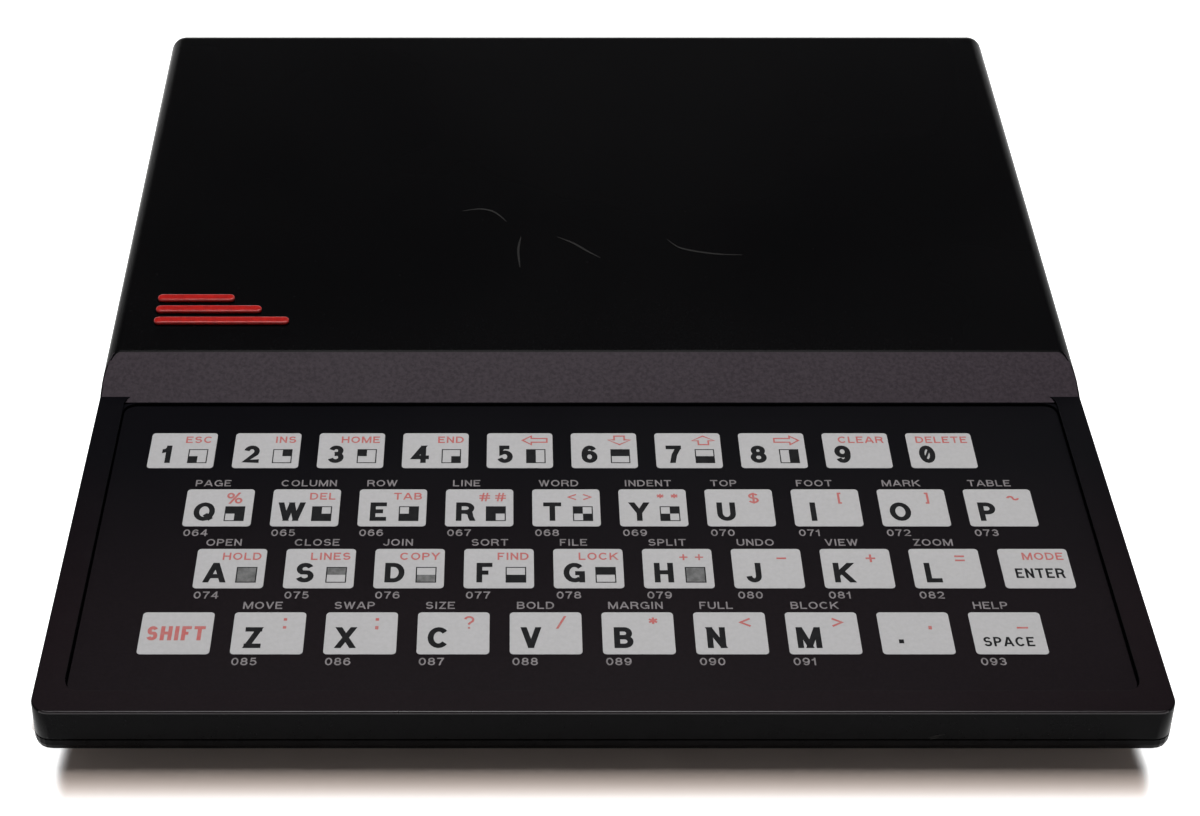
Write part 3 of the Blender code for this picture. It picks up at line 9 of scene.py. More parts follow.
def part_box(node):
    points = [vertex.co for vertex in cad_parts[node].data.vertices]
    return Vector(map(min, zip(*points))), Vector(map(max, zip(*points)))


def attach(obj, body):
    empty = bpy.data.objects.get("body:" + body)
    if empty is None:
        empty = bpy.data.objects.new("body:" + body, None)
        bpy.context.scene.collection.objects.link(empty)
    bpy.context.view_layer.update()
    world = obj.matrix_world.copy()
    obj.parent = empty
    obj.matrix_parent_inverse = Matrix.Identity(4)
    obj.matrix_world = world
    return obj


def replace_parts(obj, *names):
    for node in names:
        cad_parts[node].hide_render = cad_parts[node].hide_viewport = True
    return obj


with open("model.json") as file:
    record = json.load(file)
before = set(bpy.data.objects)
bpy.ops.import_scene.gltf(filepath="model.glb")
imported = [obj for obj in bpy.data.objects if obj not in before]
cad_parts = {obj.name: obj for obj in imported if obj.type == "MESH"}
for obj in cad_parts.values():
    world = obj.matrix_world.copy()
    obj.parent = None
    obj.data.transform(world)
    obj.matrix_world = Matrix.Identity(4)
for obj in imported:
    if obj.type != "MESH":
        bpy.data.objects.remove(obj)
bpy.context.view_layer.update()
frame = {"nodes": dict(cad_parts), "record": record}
print("frame loaded:", len(frame["nodes"]), "nodes")


# Tools that the pieces share

def addPiece(name, data, finish, smoothAngle=None):
    piece = bpy.data.objects.new(name, data)
    bpy.context.scene.collection.objects.link(piece)
    finishes = finish if isinstance(finish, (list, tuple)) else [finish]
    for one in finishes:
        data.materials.append(one)
    if smoothAngle is not None:
        smoothShade(data, smoothAngle)
    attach(piece, "root")
    return piece


def smoothShade(data, angle):
    for face in data.polygons:
        face.use_smooth = True
    data.set_sharp_from_angle(angle=radians(angle))


def meshFrom(name, form, place=None):
    if place is not None:
        form.transform(place)
    data = bpy.data.meshes.new(name)
    form.to_mesh(data)
    form.free()
    return data


def faceOut(form):
    bmesh.ops.recalc_face_normals(form, faces=form.faces)
    if form.calc_volume(signed=True) < 0:
        bmesh.ops.reverse_faces(form, faces=form.faces)


def raiseOutline(form, points, low, high):  # a flat outline in x and y, drawn up from low to high
    face = form.faces.new([form.verts.new((x, y, low)) for x, y in points])
    raised = bmesh.ops.extrude_face_region(form, geom=[face])["geom"]
    top = [part for part in raised if isinstance(part, bmesh.types.BMVert)]
    bmesh.ops.translate(form, vec=(0, 0, high - low), verts=top)


def roundedOutline(width, length, radius, steps, centre=(0, 0)):
    points = []
    for turn, (side, end) in enumerate(((1, 1), (-1, 1), (-1, -1), (1, -1))):
        for step in range(steps + 1):
            angle = (turn + step / steps) * pi / 2
            x = centre[0] + side * (width / 2 - radius) + radius * cos(angle)
            y = centre[1] + end * (length / 2 - radius) + radius * sin(angle)
            points.append((x, y))
    return points


def roundEdges(form, chosen, radius, steps):
    edges = [edge for edge in form.edges if len(edge.link_faces) == 2 and chosen(edge)]
    bmesh.ops.bevel(
        form, geom=edges, offset=radius, segments=steps, profile=0.5, affect="EDGES", clamp_overlap=False,
    )
    faceOut(form)


def reshape(piece, change):  # runs a change over the piece's mesh
    form = bmesh.new()
    form.from_mesh(piece.data)
    change(form)
    form.to_mesh(piece.data)
    form.free()


def softenEdges(piece, radius, steps):
    rounding = piece.modifiers.new("edge", "BEVEL")
    rounding.width = radius
    rounding.segments = steps
    rounding.limit_method = "ANGLE"


def cutterFrom(name, form, place=None):
    faceOut(form)
    data = meshFrom(name, form, place)
    cutter = bpy.data.objects.new(name, data)
    bpy.context.scene.collection.objects.link(cutter)
    return cutter


def carve(body, cutters, operation="DIFFERENCE"):  # cuts now and removes the cutters
    for cutter in cutters:
        change = body.modifiers.new(cutter.name, "BOOLEAN")
        change.operation = operation
        change.solver = "EXACT"
        change.object = cutter
    bpy.context.view_layer.update()
    seen = body.evaluated_get(bpy.context.evaluated_depsgraph_get())
    data = bpy.data.meshes.new_from_object(seen)
    body.modifiers.clear()
    body.data = data
    for cutter in cutters:
        bpy.data.objects.remove(cutter)


def cylinderForm(radius, low, high, steps, place):
    form = bmesh.new()
    sizes = {"radius1": radius, "radius2": radius, "depth": high - low}
    bmesh.ops.create_cone(form, cap_ends=True, segments=steps, **sizes)
    bmesh.ops.translate(form, vec=(0, 0, (low + high) / 2), verts=form.verts)
    form.transform(place)
    return form


def boxForm(low, high):
    form = bmesh.new()
    bmesh.ops.create_cube(form, size=1)
    low, high = Vector(low), Vector(high)
    bmesh.ops.scale(form, vec=high - low, verts=form.verts)
    bmesh.ops.translate(form, vec=(low + high) / 2, verts=form.verts)
    return form


def addForm(target, added, place=None):  # joins one form to another
    data = meshFrom("joined", added, place)
    target.from_mesh(data)
    bpy.data.meshes.remove(data)


def joinRings(form, rings, closed=False):  # a skin over rings of the same count
    count = len(rings[0])
    for one, other in zip(rings, rings[1:] + rings[:1] if closed else rings[1:]):
        for n in range(count):
            m = (n + 1) % count
            form.faces.new((one[n], one[m], other[m], other[n]))


def at(x, y, z):
    return Matrix.Translation((x, y, z))


alongX = Matrix.Rotation(pi / 2, 4, "Y")

# Camera at the photograph's place: in front, a little left of the middle, looking down at the keyboard
photoCamera = {
    "place": (-0.01338, -0.31853, 0.21926),
    "lookDown": 33.611,
    "lens": 63.836,
    "shift": (0.0740, -0.0090),
    "sensor": 36,
    "clip": (0.01, 20),
}


def makeCamera():
    data = bpy.data.cameras.new("photoCamera")
    data.lens = photoCamera["lens"]
    data.sensor_width = photoCamera["sensor"]
    data.sensor_fit = "HORIZONTAL"
    data.shift_x, data.shift_y = photoCamera["shift"]
    data.clip_start, data.clip_end = photoCamera["clip"]
    camera = bpy.data.objects.new("photoCamera", data)
    camera.location = photoCamera["place"]
    camera.rotation_euler = (radians(90 - photoCamera["lookDown"]), 0, 0)
    bpy.context.scene.collection.objects.link(camera)
    bpy.context.scene.camera = camera


makeCamera()
bpy.context.scene.view_settings.view_transform = "Standard"
print("camera set")


# Materials. Each effect that several of them use is a group.

def link(tree, start, end):
    tree.links.new(start, end)


def feed(tree, value, socket):  # an output is linked, a colour or a number is set
    if isinstance(value, bpy.types.NodeSocket):
        link(tree, value, socket)
    elif isinstance(value, tuple):
        socket.default_value = (*value, 1)
    elif value is not None:
        socket.default_value = value


def newGroup(name, inputs, outputs):  # returns the group with its input and output nodes
    group = bpy.data.node_groups.new(name, "ShaderNodeTree")
    for label, kind, value in inputs:
        made = group.interface.new_socket(name=label, in_out="INPUT", socket_type=kind)
        made.default_value = value
    for label, kind in outputs:
        group.interface.new_socket(name=label, in_out="OUTPUT", socket_type=kind)
    start = group.nodes.new("NodeGroupInput")
    end = group.nodes.new("NodeGroupOutput")
    return group, start, end


def mathNode(tree, operation, first, second=None):
    made = tree.nodes.new("ShaderNodeMath")
    made.operation = operation
    for socket, value in zip(made.inputs, (first, second)):
        feed(tree, value, socket)
    return made.outputs[0]


def noiseNode(tree, vector, scale, detail=2, roughness=0.5):
    made = tree.nodes.new("ShaderNodeTexNoise")
    for label, value in (("Vector", vector), ("Scale", scale), ("Detail", detail), ("Roughness", roughness)):
        feed(tree, value, made.inputs[label])
    return made.outputs["Fac"]


def rangeNode(tree, value, fromLow, fromHigh, toLow=0.0, toHigh=1.0):
    made = tree.nodes.new("ShaderNodeMapRange")
    labels = ("Value", "From Min", "From Max", "To Min", "To Max")
    for label, one in zip(labels, (value, fromLow, fromHigh, toLow, toHigh)):
        feed(tree, one, made.inputs[label])
    return made.outputs["Result"]


def mixColour(tree, factor, first, second):
    made = tree.nodes.new("ShaderNodeMix")
    made.data_type = "RGBA"
    for socket, value in ((made.inputs["Factor"], factor), (made.inputs[6], first), (made.inputs[7], second)):
        feed(tree, value, socket)
    return made.outputs[2]


def splitVector(tree, vector):
    made = tree.nodes.new("ShaderNodeSeparateXYZ")
    link(tree, vector, made.inputs[0])
    return made.outputs


def makeGrainGroup():  # moulded grain: a fine height, and a slow change of gloss
    group, start, end = newGroup(
        "mouldedGrain",
        (("Vector", "NodeSocketVector", (0, 0, 0)), ("Grain Scale", "NodeSocketFloat", 900.0),
         ("Gloss Low", "NodeSocketFloat", 0.35), ("Gloss High", "NodeSocketFloat", 0.5)),
        (("Height", "NodeSocketFloat"), ("Roughness", "NodeSocketFloat"), ("Tone", "NodeSocketFloat")),
    )
    fine = noiseNode(group, start.outputs["Vector"], start.outputs["Grain Scale"], 3, 0.6)
    patch = noiseNode(group, start.outputs["Vector"], 16.0)
    link(group, fine, end.inputs["Height"])
    gloss = rangeNode(group, patch, 0.3, 0.7, start.outputs["Gloss Low"], start.outputs["Gloss High"])
    link(group, gloss, end.inputs["Roughness"])
    link(group, rangeNode(group, fine, 0.35, 0.7), end.inputs["Tone"])
    return group


def makeDustGroup():  # thin dust on faces that look up, in soft patches and specks
    group, start, end = newGroup(
        "settledDust",
        (("Vector", "NodeSocketVector", (0, 0, 0)), ("Amount", "NodeSocketFloat", 0.1),
         ("Speck Amount", "NodeSocketFloat", 0.3)),
        (("Mask", "NodeSocketFloat"),),
    )
    geometry = group.nodes.new("ShaderNodeNewGeometry")
    facing = rangeNode(group, splitVector(group, geometry.outputs["Normal"])["Z"], 0.5, 0.98)
    patches = rangeNode(group, noiseNode(group, start.outputs["Vector"], 22.0), 0.40, 0.80)
    specks = rangeNode(group, noiseNode(group, start.outputs["Vector"], 1400.0, 1), 0.74, 0.8)
    soft = mathNode(group, "MULTIPLY", patches, start.outputs["Amount"])
    hard = mathNode(group, "MULTIPLY", specks, start.outputs["Speck Amount"])
    both = mathNode(group, "ADD", soft, hard)
    link(group, mathNode(group, "MULTIPLY", both, facing), end.inputs["Mask"])
    return group


def makeWearAndHighlightGroup():  # rubbed lighter along edges, broken up by noise: partly wear, partly a painted highlight on the roundings
    group, start, end = newGroup(
        "edgeWearAndPaintedHighlight",
        (("Vector", "NodeSocketVector", (0, 0, 0)), ("Amount", "NodeSocketFloat", 0.5)),
        (("Mask", "NodeSocketFloat"),),
    )
    geometry = group.nodes.new("ShaderNodeNewGeometry")
    edge = rangeNode(group, geometry.outputs["Pointiness"], 0.52, 0.62)
    broken = rangeNode(group, noiseNode(group, start.outputs["Vector"], 350.0, 4, 0.7), 0.42, 0.68)
    both = mathNode(group, "MULTIPLY", edge, broken)
    link(group, mathNode(group, "MULTIPLY", both, start.outputs["Amount"]), end.inputs["Mask"])
    return group


def makeStepShadeGroup():  # painted shade: one colour in front that runs out into a darker one further back, towards the step
    group, start, end = newGroup(
        "paintedShadeToStep",
        (("Vector", "NodeSocketVector", (0, 0, 0)), ("Front Colour", "NodeSocketColor", (0, 0, 0, 1)),
         ("Back Colour", "NodeSocketColor", (0, 0, 0, 1)), ("Fade Start", "NodeSocketFloat", -0.07),
         ("Fade End", "NodeSocketFloat", -0.03)),
        (("Colour", "NodeSocketColor"),),
    )
    run = splitVector(group, start.outputs["Vector"])["Y"]
    back = rangeNode(group, run, start.outputs["Fade Start"], start.outputs["Fade End"])
    faded = mixColour(group, back, start.outputs["Front Colour"], start.outputs["Back Colour"])
    link(group, faded, end.inputs["Colour"])
    return group


def makePatchGroup():  # uneven ink, plating and coating: a height, and a mask between two limits
    group, start, end = newGroup(
        "unevenPatch",
        (("Vector", "NodeSocketVector", (0, 0, 0)), ("Patch Scale", "NodeSocketFloat", 900.0),
         ("Detail", "NodeSocketFloat", 3.0), ("Breakup", "NodeSocketFloat", 0.6),
         ("Mask Low", "NodeSocketFloat", 0.0), ("Mask High", "NodeSocketFloat", 1.0)),
        (("Height", "NodeSocketFloat"), ("Mask", "NodeSocketFloat")),
    )
    given = start.outputs
    patch = noiseNode(group, given["Vector"], given["Patch Scale"], given["Detail"], given["Breakup"])
    link(group, patch, end.inputs["Height"])
    link(group, rangeNode(group, patch, given["Mask Low"], given["Mask High"]), end.inputs["Mask"])
    return group


grainGroup = makeGrainGroup()
dustGroup = makeDustGroup()
wearAndHighlightGroup = makeWearAndHighlightGroup()
stepShadeGroup = makeStepShadeGroup()
patchGroup = makePatchGroup()


def placeGroup(tree, group, vector, **values):
    made = tree.nodes.new("ShaderNodeGroup")
    made.node_tree = group
    link(tree, vector, made.inputs["Vector"])
    for label, value in values.items():
        feed(tree, value, made.inputs[label.replace("_", " ")])
    return made


def startMaterial(name, metallic=0.0, specular=0.5, roughness=0.5):
    made = bpy.data.materials.new(name)
    made.use_nodes = True
    tree = made.node_tree
    shader = tree.nodes["Principled BSDF"]
    shader.inputs["Metallic"].default_value = metallic
    shader.inputs["Specular IOR Level"].default_value = specular
    shader.inputs["Roughness"].default_value = roughness
    coordinate = tree.nodes.new("ShaderNodeTexCoord")
    return made, tree, shader, coordinate.outputs["Object"]


def addBump(tree, shader, height, strength, distance):
    bump = tree.nodes.new("ShaderNodeBump")
    bump.inputs["Strength"].default_value = strength
    bump.inputs["Distance"].default_value = distance
    link(tree, height, bump.inputs["Height"])
    link(tree, bump.outputs["Normal"], shader.inputs["Normal"])


def plasticMaterial(name, look):  # one recipe for every moulded plastic and rubber here
    made, tree, shader, vector = startMaterial(name, specular=look["specular"])
    low, high = look["gloss"]
    scale = look["grainScale"]
    grain = placeGroup(tree, grainGroup, vector, Grain_Scale=scale, Gloss_Low=low, Gloss_High=high)
    dust = placeGroup(tree, dustGroup, vector, Amount=look["dust"], Speck_Amount=look["specks"])
    wearAndHighlight = placeGroup(tree, wearAndHighlightGroup, vector, Amount=look["wearAndHighlight"])
    toned = mixColour(tree, grain.outputs["Tone"], look["colour"], look["grainColour"])
    # painted shade towards the step, where a look has it
    if "stepShadeColour" in look:
        begin, full = look["stepShade"]
        stepShade = placeGroup(
            tree, stepShadeGroup, vector, Front_Colour=toned, Back_Colour=look["stepShadeColour"],
            Fade_Start=begin, Fade_End=full,
        )
        toned = stepShade.outputs["Colour"]
    # edges lighter: partly wear, partly painted highlight
    wornAndHighlit = mixColour(tree, wearAndHighlight.outputs["Mask"], toned, look["wearAndHighlightColour"])
    dusty = mixColour(tree, dust.outputs["Mask"], wornAndHighlit, look["dustColour"])
    link(tree, dusty, shader.inputs["Base Color"])
    link(tree, grain.outputs["Roughness"], shader.inputs["Roughness"])
    addBump(tree, shader, grain.outputs["Height"], *look["bump"])
    return made


casePlasticLook = {
    "colour": (0.0013, 0.0012, 0.0015), "grainColour": (0.0022, 0.0021, 0.0025),
    "wearAndHighlightColour": (0.022, 0.020, 0.022), "dustColour": (0.020, 0.019, 0.019),
    "gloss": (0.25, 0.29), "specular": 0.035, "grainScale": 2600.0, "bump": (0.25, 0.00002),
    "dust": 0.04, "specks": 0.12, "wearAndHighlight": 0.35,
}
# painted sheen: the band is the case's black plastic, given a lighter colour for the light it catches from
# above
bandPaintedSheenLook = {
    "colour": (0.0262, 0.0178, 0.0245), "grainColour": (0.0465, 0.0340, 0.0435),
    "wearAndHighlightColour": (0.05, 0.045, 0.05), "dustColour": (0.07, 0.065, 0.065),
    "gloss": (0.5, 0.6), "specular": 0.12, "grainScale": 1500.0, "bump": (0.5, 0.00005),
    "dust": 0.05, "specks": 0.3, "wearAndHighlight": 0.2,
}
panelPlasticLook = {
    "colour": (0.0066, 0.0034, 0.0048), "grainColour": (0.0096, 0.0052, 0.0072),
    "wearAndHighlightColour": (0.022, 0.020, 0.022), "dustColour": (0.03, 0.028, 0.028),
    "gloss": (0.34, 0.42), "specular": 0.035, "grainScale": 2200.0, "bump": (0.3, 0.00003),
    "dust": 0.05, "specks": 0.16, "wearAndHighlight": 0.3,
    "stepShade": (-0.068, -0.032), "stepShadeColour": (0.0010, 0.0008, 0.0021),  # painted shade: darker towards the step
}
overlayPrintLook = {
    "colour": (0.0058, 0.0034, 0.0047), "grainColour": (0.0088, 0.0054, 0.0074),
    "wearAndHighlightColour": (0.022, 0.020, 0.022), "dustColour": (0.03, 0.028, 0.028),
    "gloss": (0.36, 0.46), "specular": 0.035, "grainScale": 1800.0, "bump": (0.35, 0.00003),
    "dust": 0.05, "specks": 0.15, "wearAndHighlight": 0.0,
    # painted shade: darker towards the step
    "stepShade": (-0.068, -0.032), "stepShadeColour": (0.0010, 0.0008, 0.0021),
}
keyPrintLook = {
    "colour": (0.505, 0.496, 0.504), "grainColour": (0.468, 0.460, 0.466),
    "wearAndHighlightColour": (0.42, 0.42, 0.40), "dustColour": (0.50, 0.49, 0.46),
    "gloss": (0.45, 0.55), "specular": 0.3, "grainScale": 1500.0, "bump": (0.2, 0.00002),
    "dust": 0.10, "specks": 0.25, "wearAndHighlight": 0.3,
}
rubberLook = {
    "colour": (0.010, 0.010, 0.010), "grainColour": (0.016, 0.016, 0.015),
    "wearAndHighlightColour": (0.05, 0.048, 0.045), "dustColour": (0.08, 0.075, 0.07),
    "gloss": (0.7, 0.85), "specular": 0.3, "grainScale": 900.0, "bump": (0.4, 0.00005),
    "dust": 0.1, "specks": 0.2, "wearAndHighlight": 0.6,
}
chipPlasticLook = dict(
    casePlasticLook, colour=(0.012, 0.012, 0.013), grainColour=(0.017, 0.017, 0.018), gloss=(0.3, 0.4),
)
rimPlasticLook = dict(panelPlasticLook, gloss=(0.26, 0.34), specular=0.38, bump=(0.1, 0.00002))
nylonLook = dict(keyPrintLook, colour=(0.60, 0.57, 0.48), grainColour=(0.55, 0.52, 0.43), dust=0.15)

casePlastic = plasticMaterial("casePlastic", casePlasticLook)
# the band's lighter colour is painted sheen
bandPaintedSheen = plasticMaterial("bandPaintedSheen", bandPaintedSheenLook)
panelPlastic = plasticMaterial("panelPlastic", panelPlasticLook)
rimPlastic = plasticMaterial("rimPlastic", rimPlasticLook)
overlayPrint = plasticMaterial("overlayPrint", overlayPrintLook)
keyPrint = plasticMaterial("keyPrint", keyPrintLook)
footRubber = plasticMaterial("footRubber", rubberLook)
chipPlastic = plasticMaterial("chipPlastic", chipPlasticLook)
connectorNylon = plasticMaterial("connectorNylon", nylonLook)


def inkMaterial(name, colour, thin, roughness=0.5, specular=0.12):  # screen ink, a little uneven
    made, tree, shader, vector = startMaterial(name, specular=specular, roughness=roughness)
    patch = placeGroup(tree, patchGroup, vector, Patch_Scale=900.0, Mask_Low=0.35, Mask_High=0.7)
    link(tree, mixColour(tree, patch.outputs["Mask"], colour, thin), shader.inputs["Base Color"])
    addBump(tree, shader, patch.outputs["Height"], 0.1, 0.00001)
    return made


blackInk = inkMaterial("blackInk", (0.0115, 0.0115, 0.0125), (0.0180, 0.0180, 0.0195), 0.5, 0.03)
redInk = inkMaterial("redInk", (0.53, 0.128, 0.122), (0.49, 0.190, 0.180))
paleInk = inkMaterial("paleInk", (0.27, 0.245, 0.255), (0.17, 0.155, 0.16))
badgePaint = inkMaterial("badgePaint", (0.49, 0.0085, 0.0055), (0.35, 0.0050, 0.0035), 0.2, 0.5)
scratchMark = inkMaterial("scratchMark", (0.0115, 0.0105, 0.0100), (0.005, 0.005, 0.005), 0.6)
greyInk = inkMaterial("greyInk", (0.11, 0.11, 0.11), (0.20, 0.20, 0.20))
# painted shadow: near-black, for the line round the sheet
paintedSheetShadow = inkMaterial("paintedSheetShadow", (0.0003, 0.0003, 0.0004), (0.0006, 0.0006, 0.0007), 0.9, 0.0)


def metalMaterial(name, colour, stain, gloss, scale):
    made, tree, shader, vector = startMaterial(name, metallic=1.0)
    patch = placeGroup(
        tree, patchGroup, vector, Patch_Scale=scale, Detail=5, Breakup=0.65, Mask_Low=0.4, Mask_High=0.75,
    )
    link(tree, mixColour(tree, patch.outputs["Mask"], colour, stain), shader.inputs["Base Color"])
    link(tree, rangeNode(tree, patch.outputs["Height"], 0.3, 0.7, *gloss), shader.inputs["Roughness"])
    addBump(tree, shader, patch.outputs["Height"], 0.15, 0.00003)
    return made


tinplate = metalMaterial("tinplate", (0.62, 0.61, 0.58), (0.45, 0.43, 0.40), (0.22, 0.42), 220.0)
aluminium = metalMaterial("aluminium", (0.75, 0.76, 0.77), (0.62, 0.62, 0.62), (0.28, 0.45), 300.0)
screwSteel = metalMaterial("screwSteel", (0.42, 0.41, 0.39), (0.25, 0.22, 0.19), (0.25, 0.5), 900.0)
contactGold = metalMaterial("contactGold", (0.75, 0.52, 0.20), (0.60, 0.38, 0.15), (0.2, 0.4), 700.0)


def boardMaterial():  # green mask over copper tracks, drawn by stretched brick lines
    made, tree, shader, vector = startMaterial("boardLaminate", specular=0.5, roughness=0.3)
    tracks = tree.nodes.new("ShaderNodeTexBrick")
    for label, value in (("Scale", 90.0), ("Mortar Size", 0.06), ("Brick Width", 1.4), ("Row Height", 0.12)):
        tracks.inputs[label].default_value = value
    tracks.offset = 0.37
    link(tree, vector, tracks.inputs["Vector"])
    patch = placeGroup(tree, patchGroup, vector, Patch_Scale=45.0, Breakup=0.5)
    tint = mixColour(tree, patch.outputs["Mask"], (0.012, 0.060, 0.020), (0.020, 0.085, 0.028))
    tracked = mixColour(tree, tracks.outputs["Fac"], tint, (0.045, 0.150, 0.045))
    link(tree, tracked, shader.inputs["Base Color"])
    addBump(tree, shader, tracks.outputs["Fac"], 0.4, 0.00004)
    return made


def filmMaterial():  # clear-grey polyester with silver tracks
    made, tree, shader, vector = startMaterial("contactFilm", specular=0.5, roughness=0.25)
    trackPitch = 0.00254
    across = splitVector(tree, vector)["X"]
    wave = mathNode(tree, "SINE", mathNode(tree, "MULTIPLY", across, 2 * pi / trackPitch))
    line = rangeNode(tree, wave, 0.1, 0.3)
    link(tree, mixColour(tree, line, (0.42, 0.43, 0.40), (0.70, 0.70, 0.68)), shader.inputs["Base Color"])
    return made


def glossMaterial(name, colour, other, roughness):
    made, tree, shader, vector = startMaterial(name, specular=0.5, roughness=roughness)
    patch = placeGroup(tree, patchGroup, vector, Patch_Scale=180.0)
    link(tree, mixColour(tree, patch.outputs["Mask"], colour, other), shader.inputs["Base Color"])
    addBump(tree, shader, patch.outputs["Height"], 0.1, 0.00003)
    return made


boardLaminate = boardMaterial()
contactFilm = filmMaterial()
capacitorSleeve = glossMaterial("capacitorSleeve", (0.020, 0.055, 0.22), (0.030, 0.080, 0.28), 0.3)
resonatorCeramic = glossMaterial("resonatorCeramic", (0.70, 0.25, 0.035), (0.62, 0.20, 0.03), 0.3)
print("materials made")

# The CAD nodes that stay: each takes its slot's finish, and smooth shading between sharp edges
slotFinishes = {
    "case_plastic": casePlastic, "overlay_print": overlayPrint, "polyester": contactFilm,
    "board_laminate": boardLaminate, "chip_plastic": chipPlastic, "socket_plastic": chipPlastic,
    "connector_plastic": connectorNylon, "tinplate": tinplate, "aluminium": aluminium,
    "screw_steel": screwSteel, "foot_rubber": footRubber, "capacitor_sleeve": capacitorSleeve,
    "resonator_ceramic": resonatorCeramic,
}


def dressNodes():
    slotOf = {part["node"]: part["material_slot"] for part in frame["record"]["subparts"]}
    for name, node in frame["nodes"].items():
        data = node.data
        finish = slotFinishes[slotOf[name]]
        if len(data.materials) == 0:
            data.materials.append(finish)
        for index in range(len(data.materials)):
            data.materials[index] = finish
        smoothShade(data, 32)


dressNodes()
print("CAD nodes dressed")

# The case, in the same sizes as the CAD, with finer roundings
caseForm = {
    "width": 0.167, "depth": 0.175, "height": 0.040, "frontHeight": 0.0108,
    "keyboardRun": 0.069825, "bandRun": 0.0080,
    "keyboardSlope": radians(7.0), "bandSlope": radians(27.8), "draft": radians(1.2),
    "cornerRadius": 0.0029, "deckFillet": 0.0026, "rimRadius": 0.0003, "seamRadius": 0.00025,
    "recessRim": 0.00014, "seam": 0.0055, "gap": 0.00008,
    "wall": 0.0022, "innerRadius": 0.0008, "innerFillet": 0.0007, "lip": 0.0006,
    "recessFront": 0.0038, "recessRear": 0.06950, "recessWidth": 0.1602, "recessDepth": 0.0025,
    "recessRadius": 0.0022, "overlayDrop": 0.00045, "trayThickness": 0.0016,
    "openingFront": 0.0044, "openingWidth": 0.1578, "lipGap": 0.00006,  # a thin lip covers the sheet's edges
    "openingPast": 0.0004,  # past the foot of the band
}
clear = 0.001  # how far a cutting form runs past what it cuts
near = 0.0001  # two places closer than this are one
front = -caseForm["depth"] / 2
rear = caseForm["depth"] / 2
bandFoot = caseForm["frontHeight"] + caseForm["keyboardRun"] * tan(caseForm["keyboardSlope"])
bandTop = bandFoot + caseForm["bandRun"] * tan(caseForm["bandSlope"])
deckRun = caseForm["depth"] - caseForm["keyboardRun"] - caseForm["bandRun"]
deckRise = (caseForm["height"] - bandTop) / deckRun
deckSlope = atan2(deckRise, 1)
deckFront = front + caseForm["keyboardRun"] + caseForm["bandRun"]
keyboardFrame = at(0, front, caseForm["frontHeight"]) @ Matrix.Rotation(caseForm["keyboardSlope"], 4, "X")
deckFrame = at(0, deckFront, bandTop) @ Matrix.Rotation(deckSlope, 4, "X")


def keyboardLevel(run, depth=0.0):
    slope = caseForm["keyboardSlope"]
    return caseForm["frontHeight"] + run * tan(slope) - depth / cos(slope)


def bandLevel(run, depth=0.0):
    slope = caseForm["bandSlope"]
    return bandFoot + (run - caseForm["keyboardRun"]) * tan(slope) - depth / cos(slope)


def deckLevel(run, depth=0.0):
    return bandTop + (run - caseForm["keyboardRun"] - caseForm["bandRun"]) * deckRise - depth / cos(deckSlope)


def caseBlock(inset, low, corner, fillet, steps):
    flatRun = caseForm["keyboardRun"]
    outline = (
        (inset, low), (caseForm["depth"] - inset, low),
        (caseForm["depth"] - inset, deckLevel(caseForm["depth"] - inset, inset)),
        (flatRun, deckLevel(flatRun, inset)), (inset, deckLevel(flatRun, inset)),
    )
    form = bmesh.new()
    face = form.faces.new([form.verts.new((-1, run, level)) for run, level in outline])
    raised = bmesh.ops.extrude_face_region(form, geom=[face])["geom"]
    far = [part for part in raised if isinstance(part, bmesh.types.BMVert)]
    bmesh.ops.translate(form, vec=(2, 0, 0), verts=far)
    for vert in form.verts:
        drawnIn = (vert.co.z - caseForm["seam"]) * tan(caseForm["draft"])
        run = vert.co.y
        if abs(run - flatRun) > near:
            run += drawnIn if run < flatRun else -drawnIn
        half = caseForm["width"] / 2 - inset - drawnIn
        level = deckLevel(max(run, flatRun), inset) if vert.co.z > bandFoot else vert.co.z
        vert.co = (half if vert.co.x > 0 else -half, front + run, level)
    faceOut(form)
    roundEdges(form, isUpright, corner, steps)
    roundEdges(form, isTopRim, fillet, steps)
    return form


def isUpright(edge):  # within 30 degrees
    return abs((edge.verts[1].co - edge.verts[0].co).normalized().z) > cos(radians(30))


def isTopRim(edge):  # between a wall and the deck
    wall, deck = sorted(face.normal.z for face in edge.link_faces)
    return deck > cos(radians(40)) and wall < 0.5


def spaceAboveKeyboard(depth):
    slopeGap = tan(caseForm["bandSlope"]) - tan(caseForm["keyboardSlope"])
    shift = depth * (1 / cos(caseForm["bandSlope"]) - 1 / cos(caseForm["keyboardSlope"])) / slopeGap
    foot = caseForm["keyboardRun"] + shift
    end = caseForm["keyboardRun"] + 4 * caseForm["bandRun"]
    side, top = caseForm["width"] / 2 + clear, 2 * caseForm["height"]
    outline = (
        (-clear, keyboardLevel(-clear, depth)), (foot, keyboardLevel(foot, depth)),
        (end, bandLevel(end, depth)), (end, top), (-clear, top),
    )
    form = bmesh.new()
    raiseOutline(form, [(front + run, level) for run, level in outline], -side, side)
    form.transform(Matrix(((0, 0, 1, 0), (1, 0, 0, 0), (0, 1, 0, 0), (0, 0, 0, 1))))
    return form


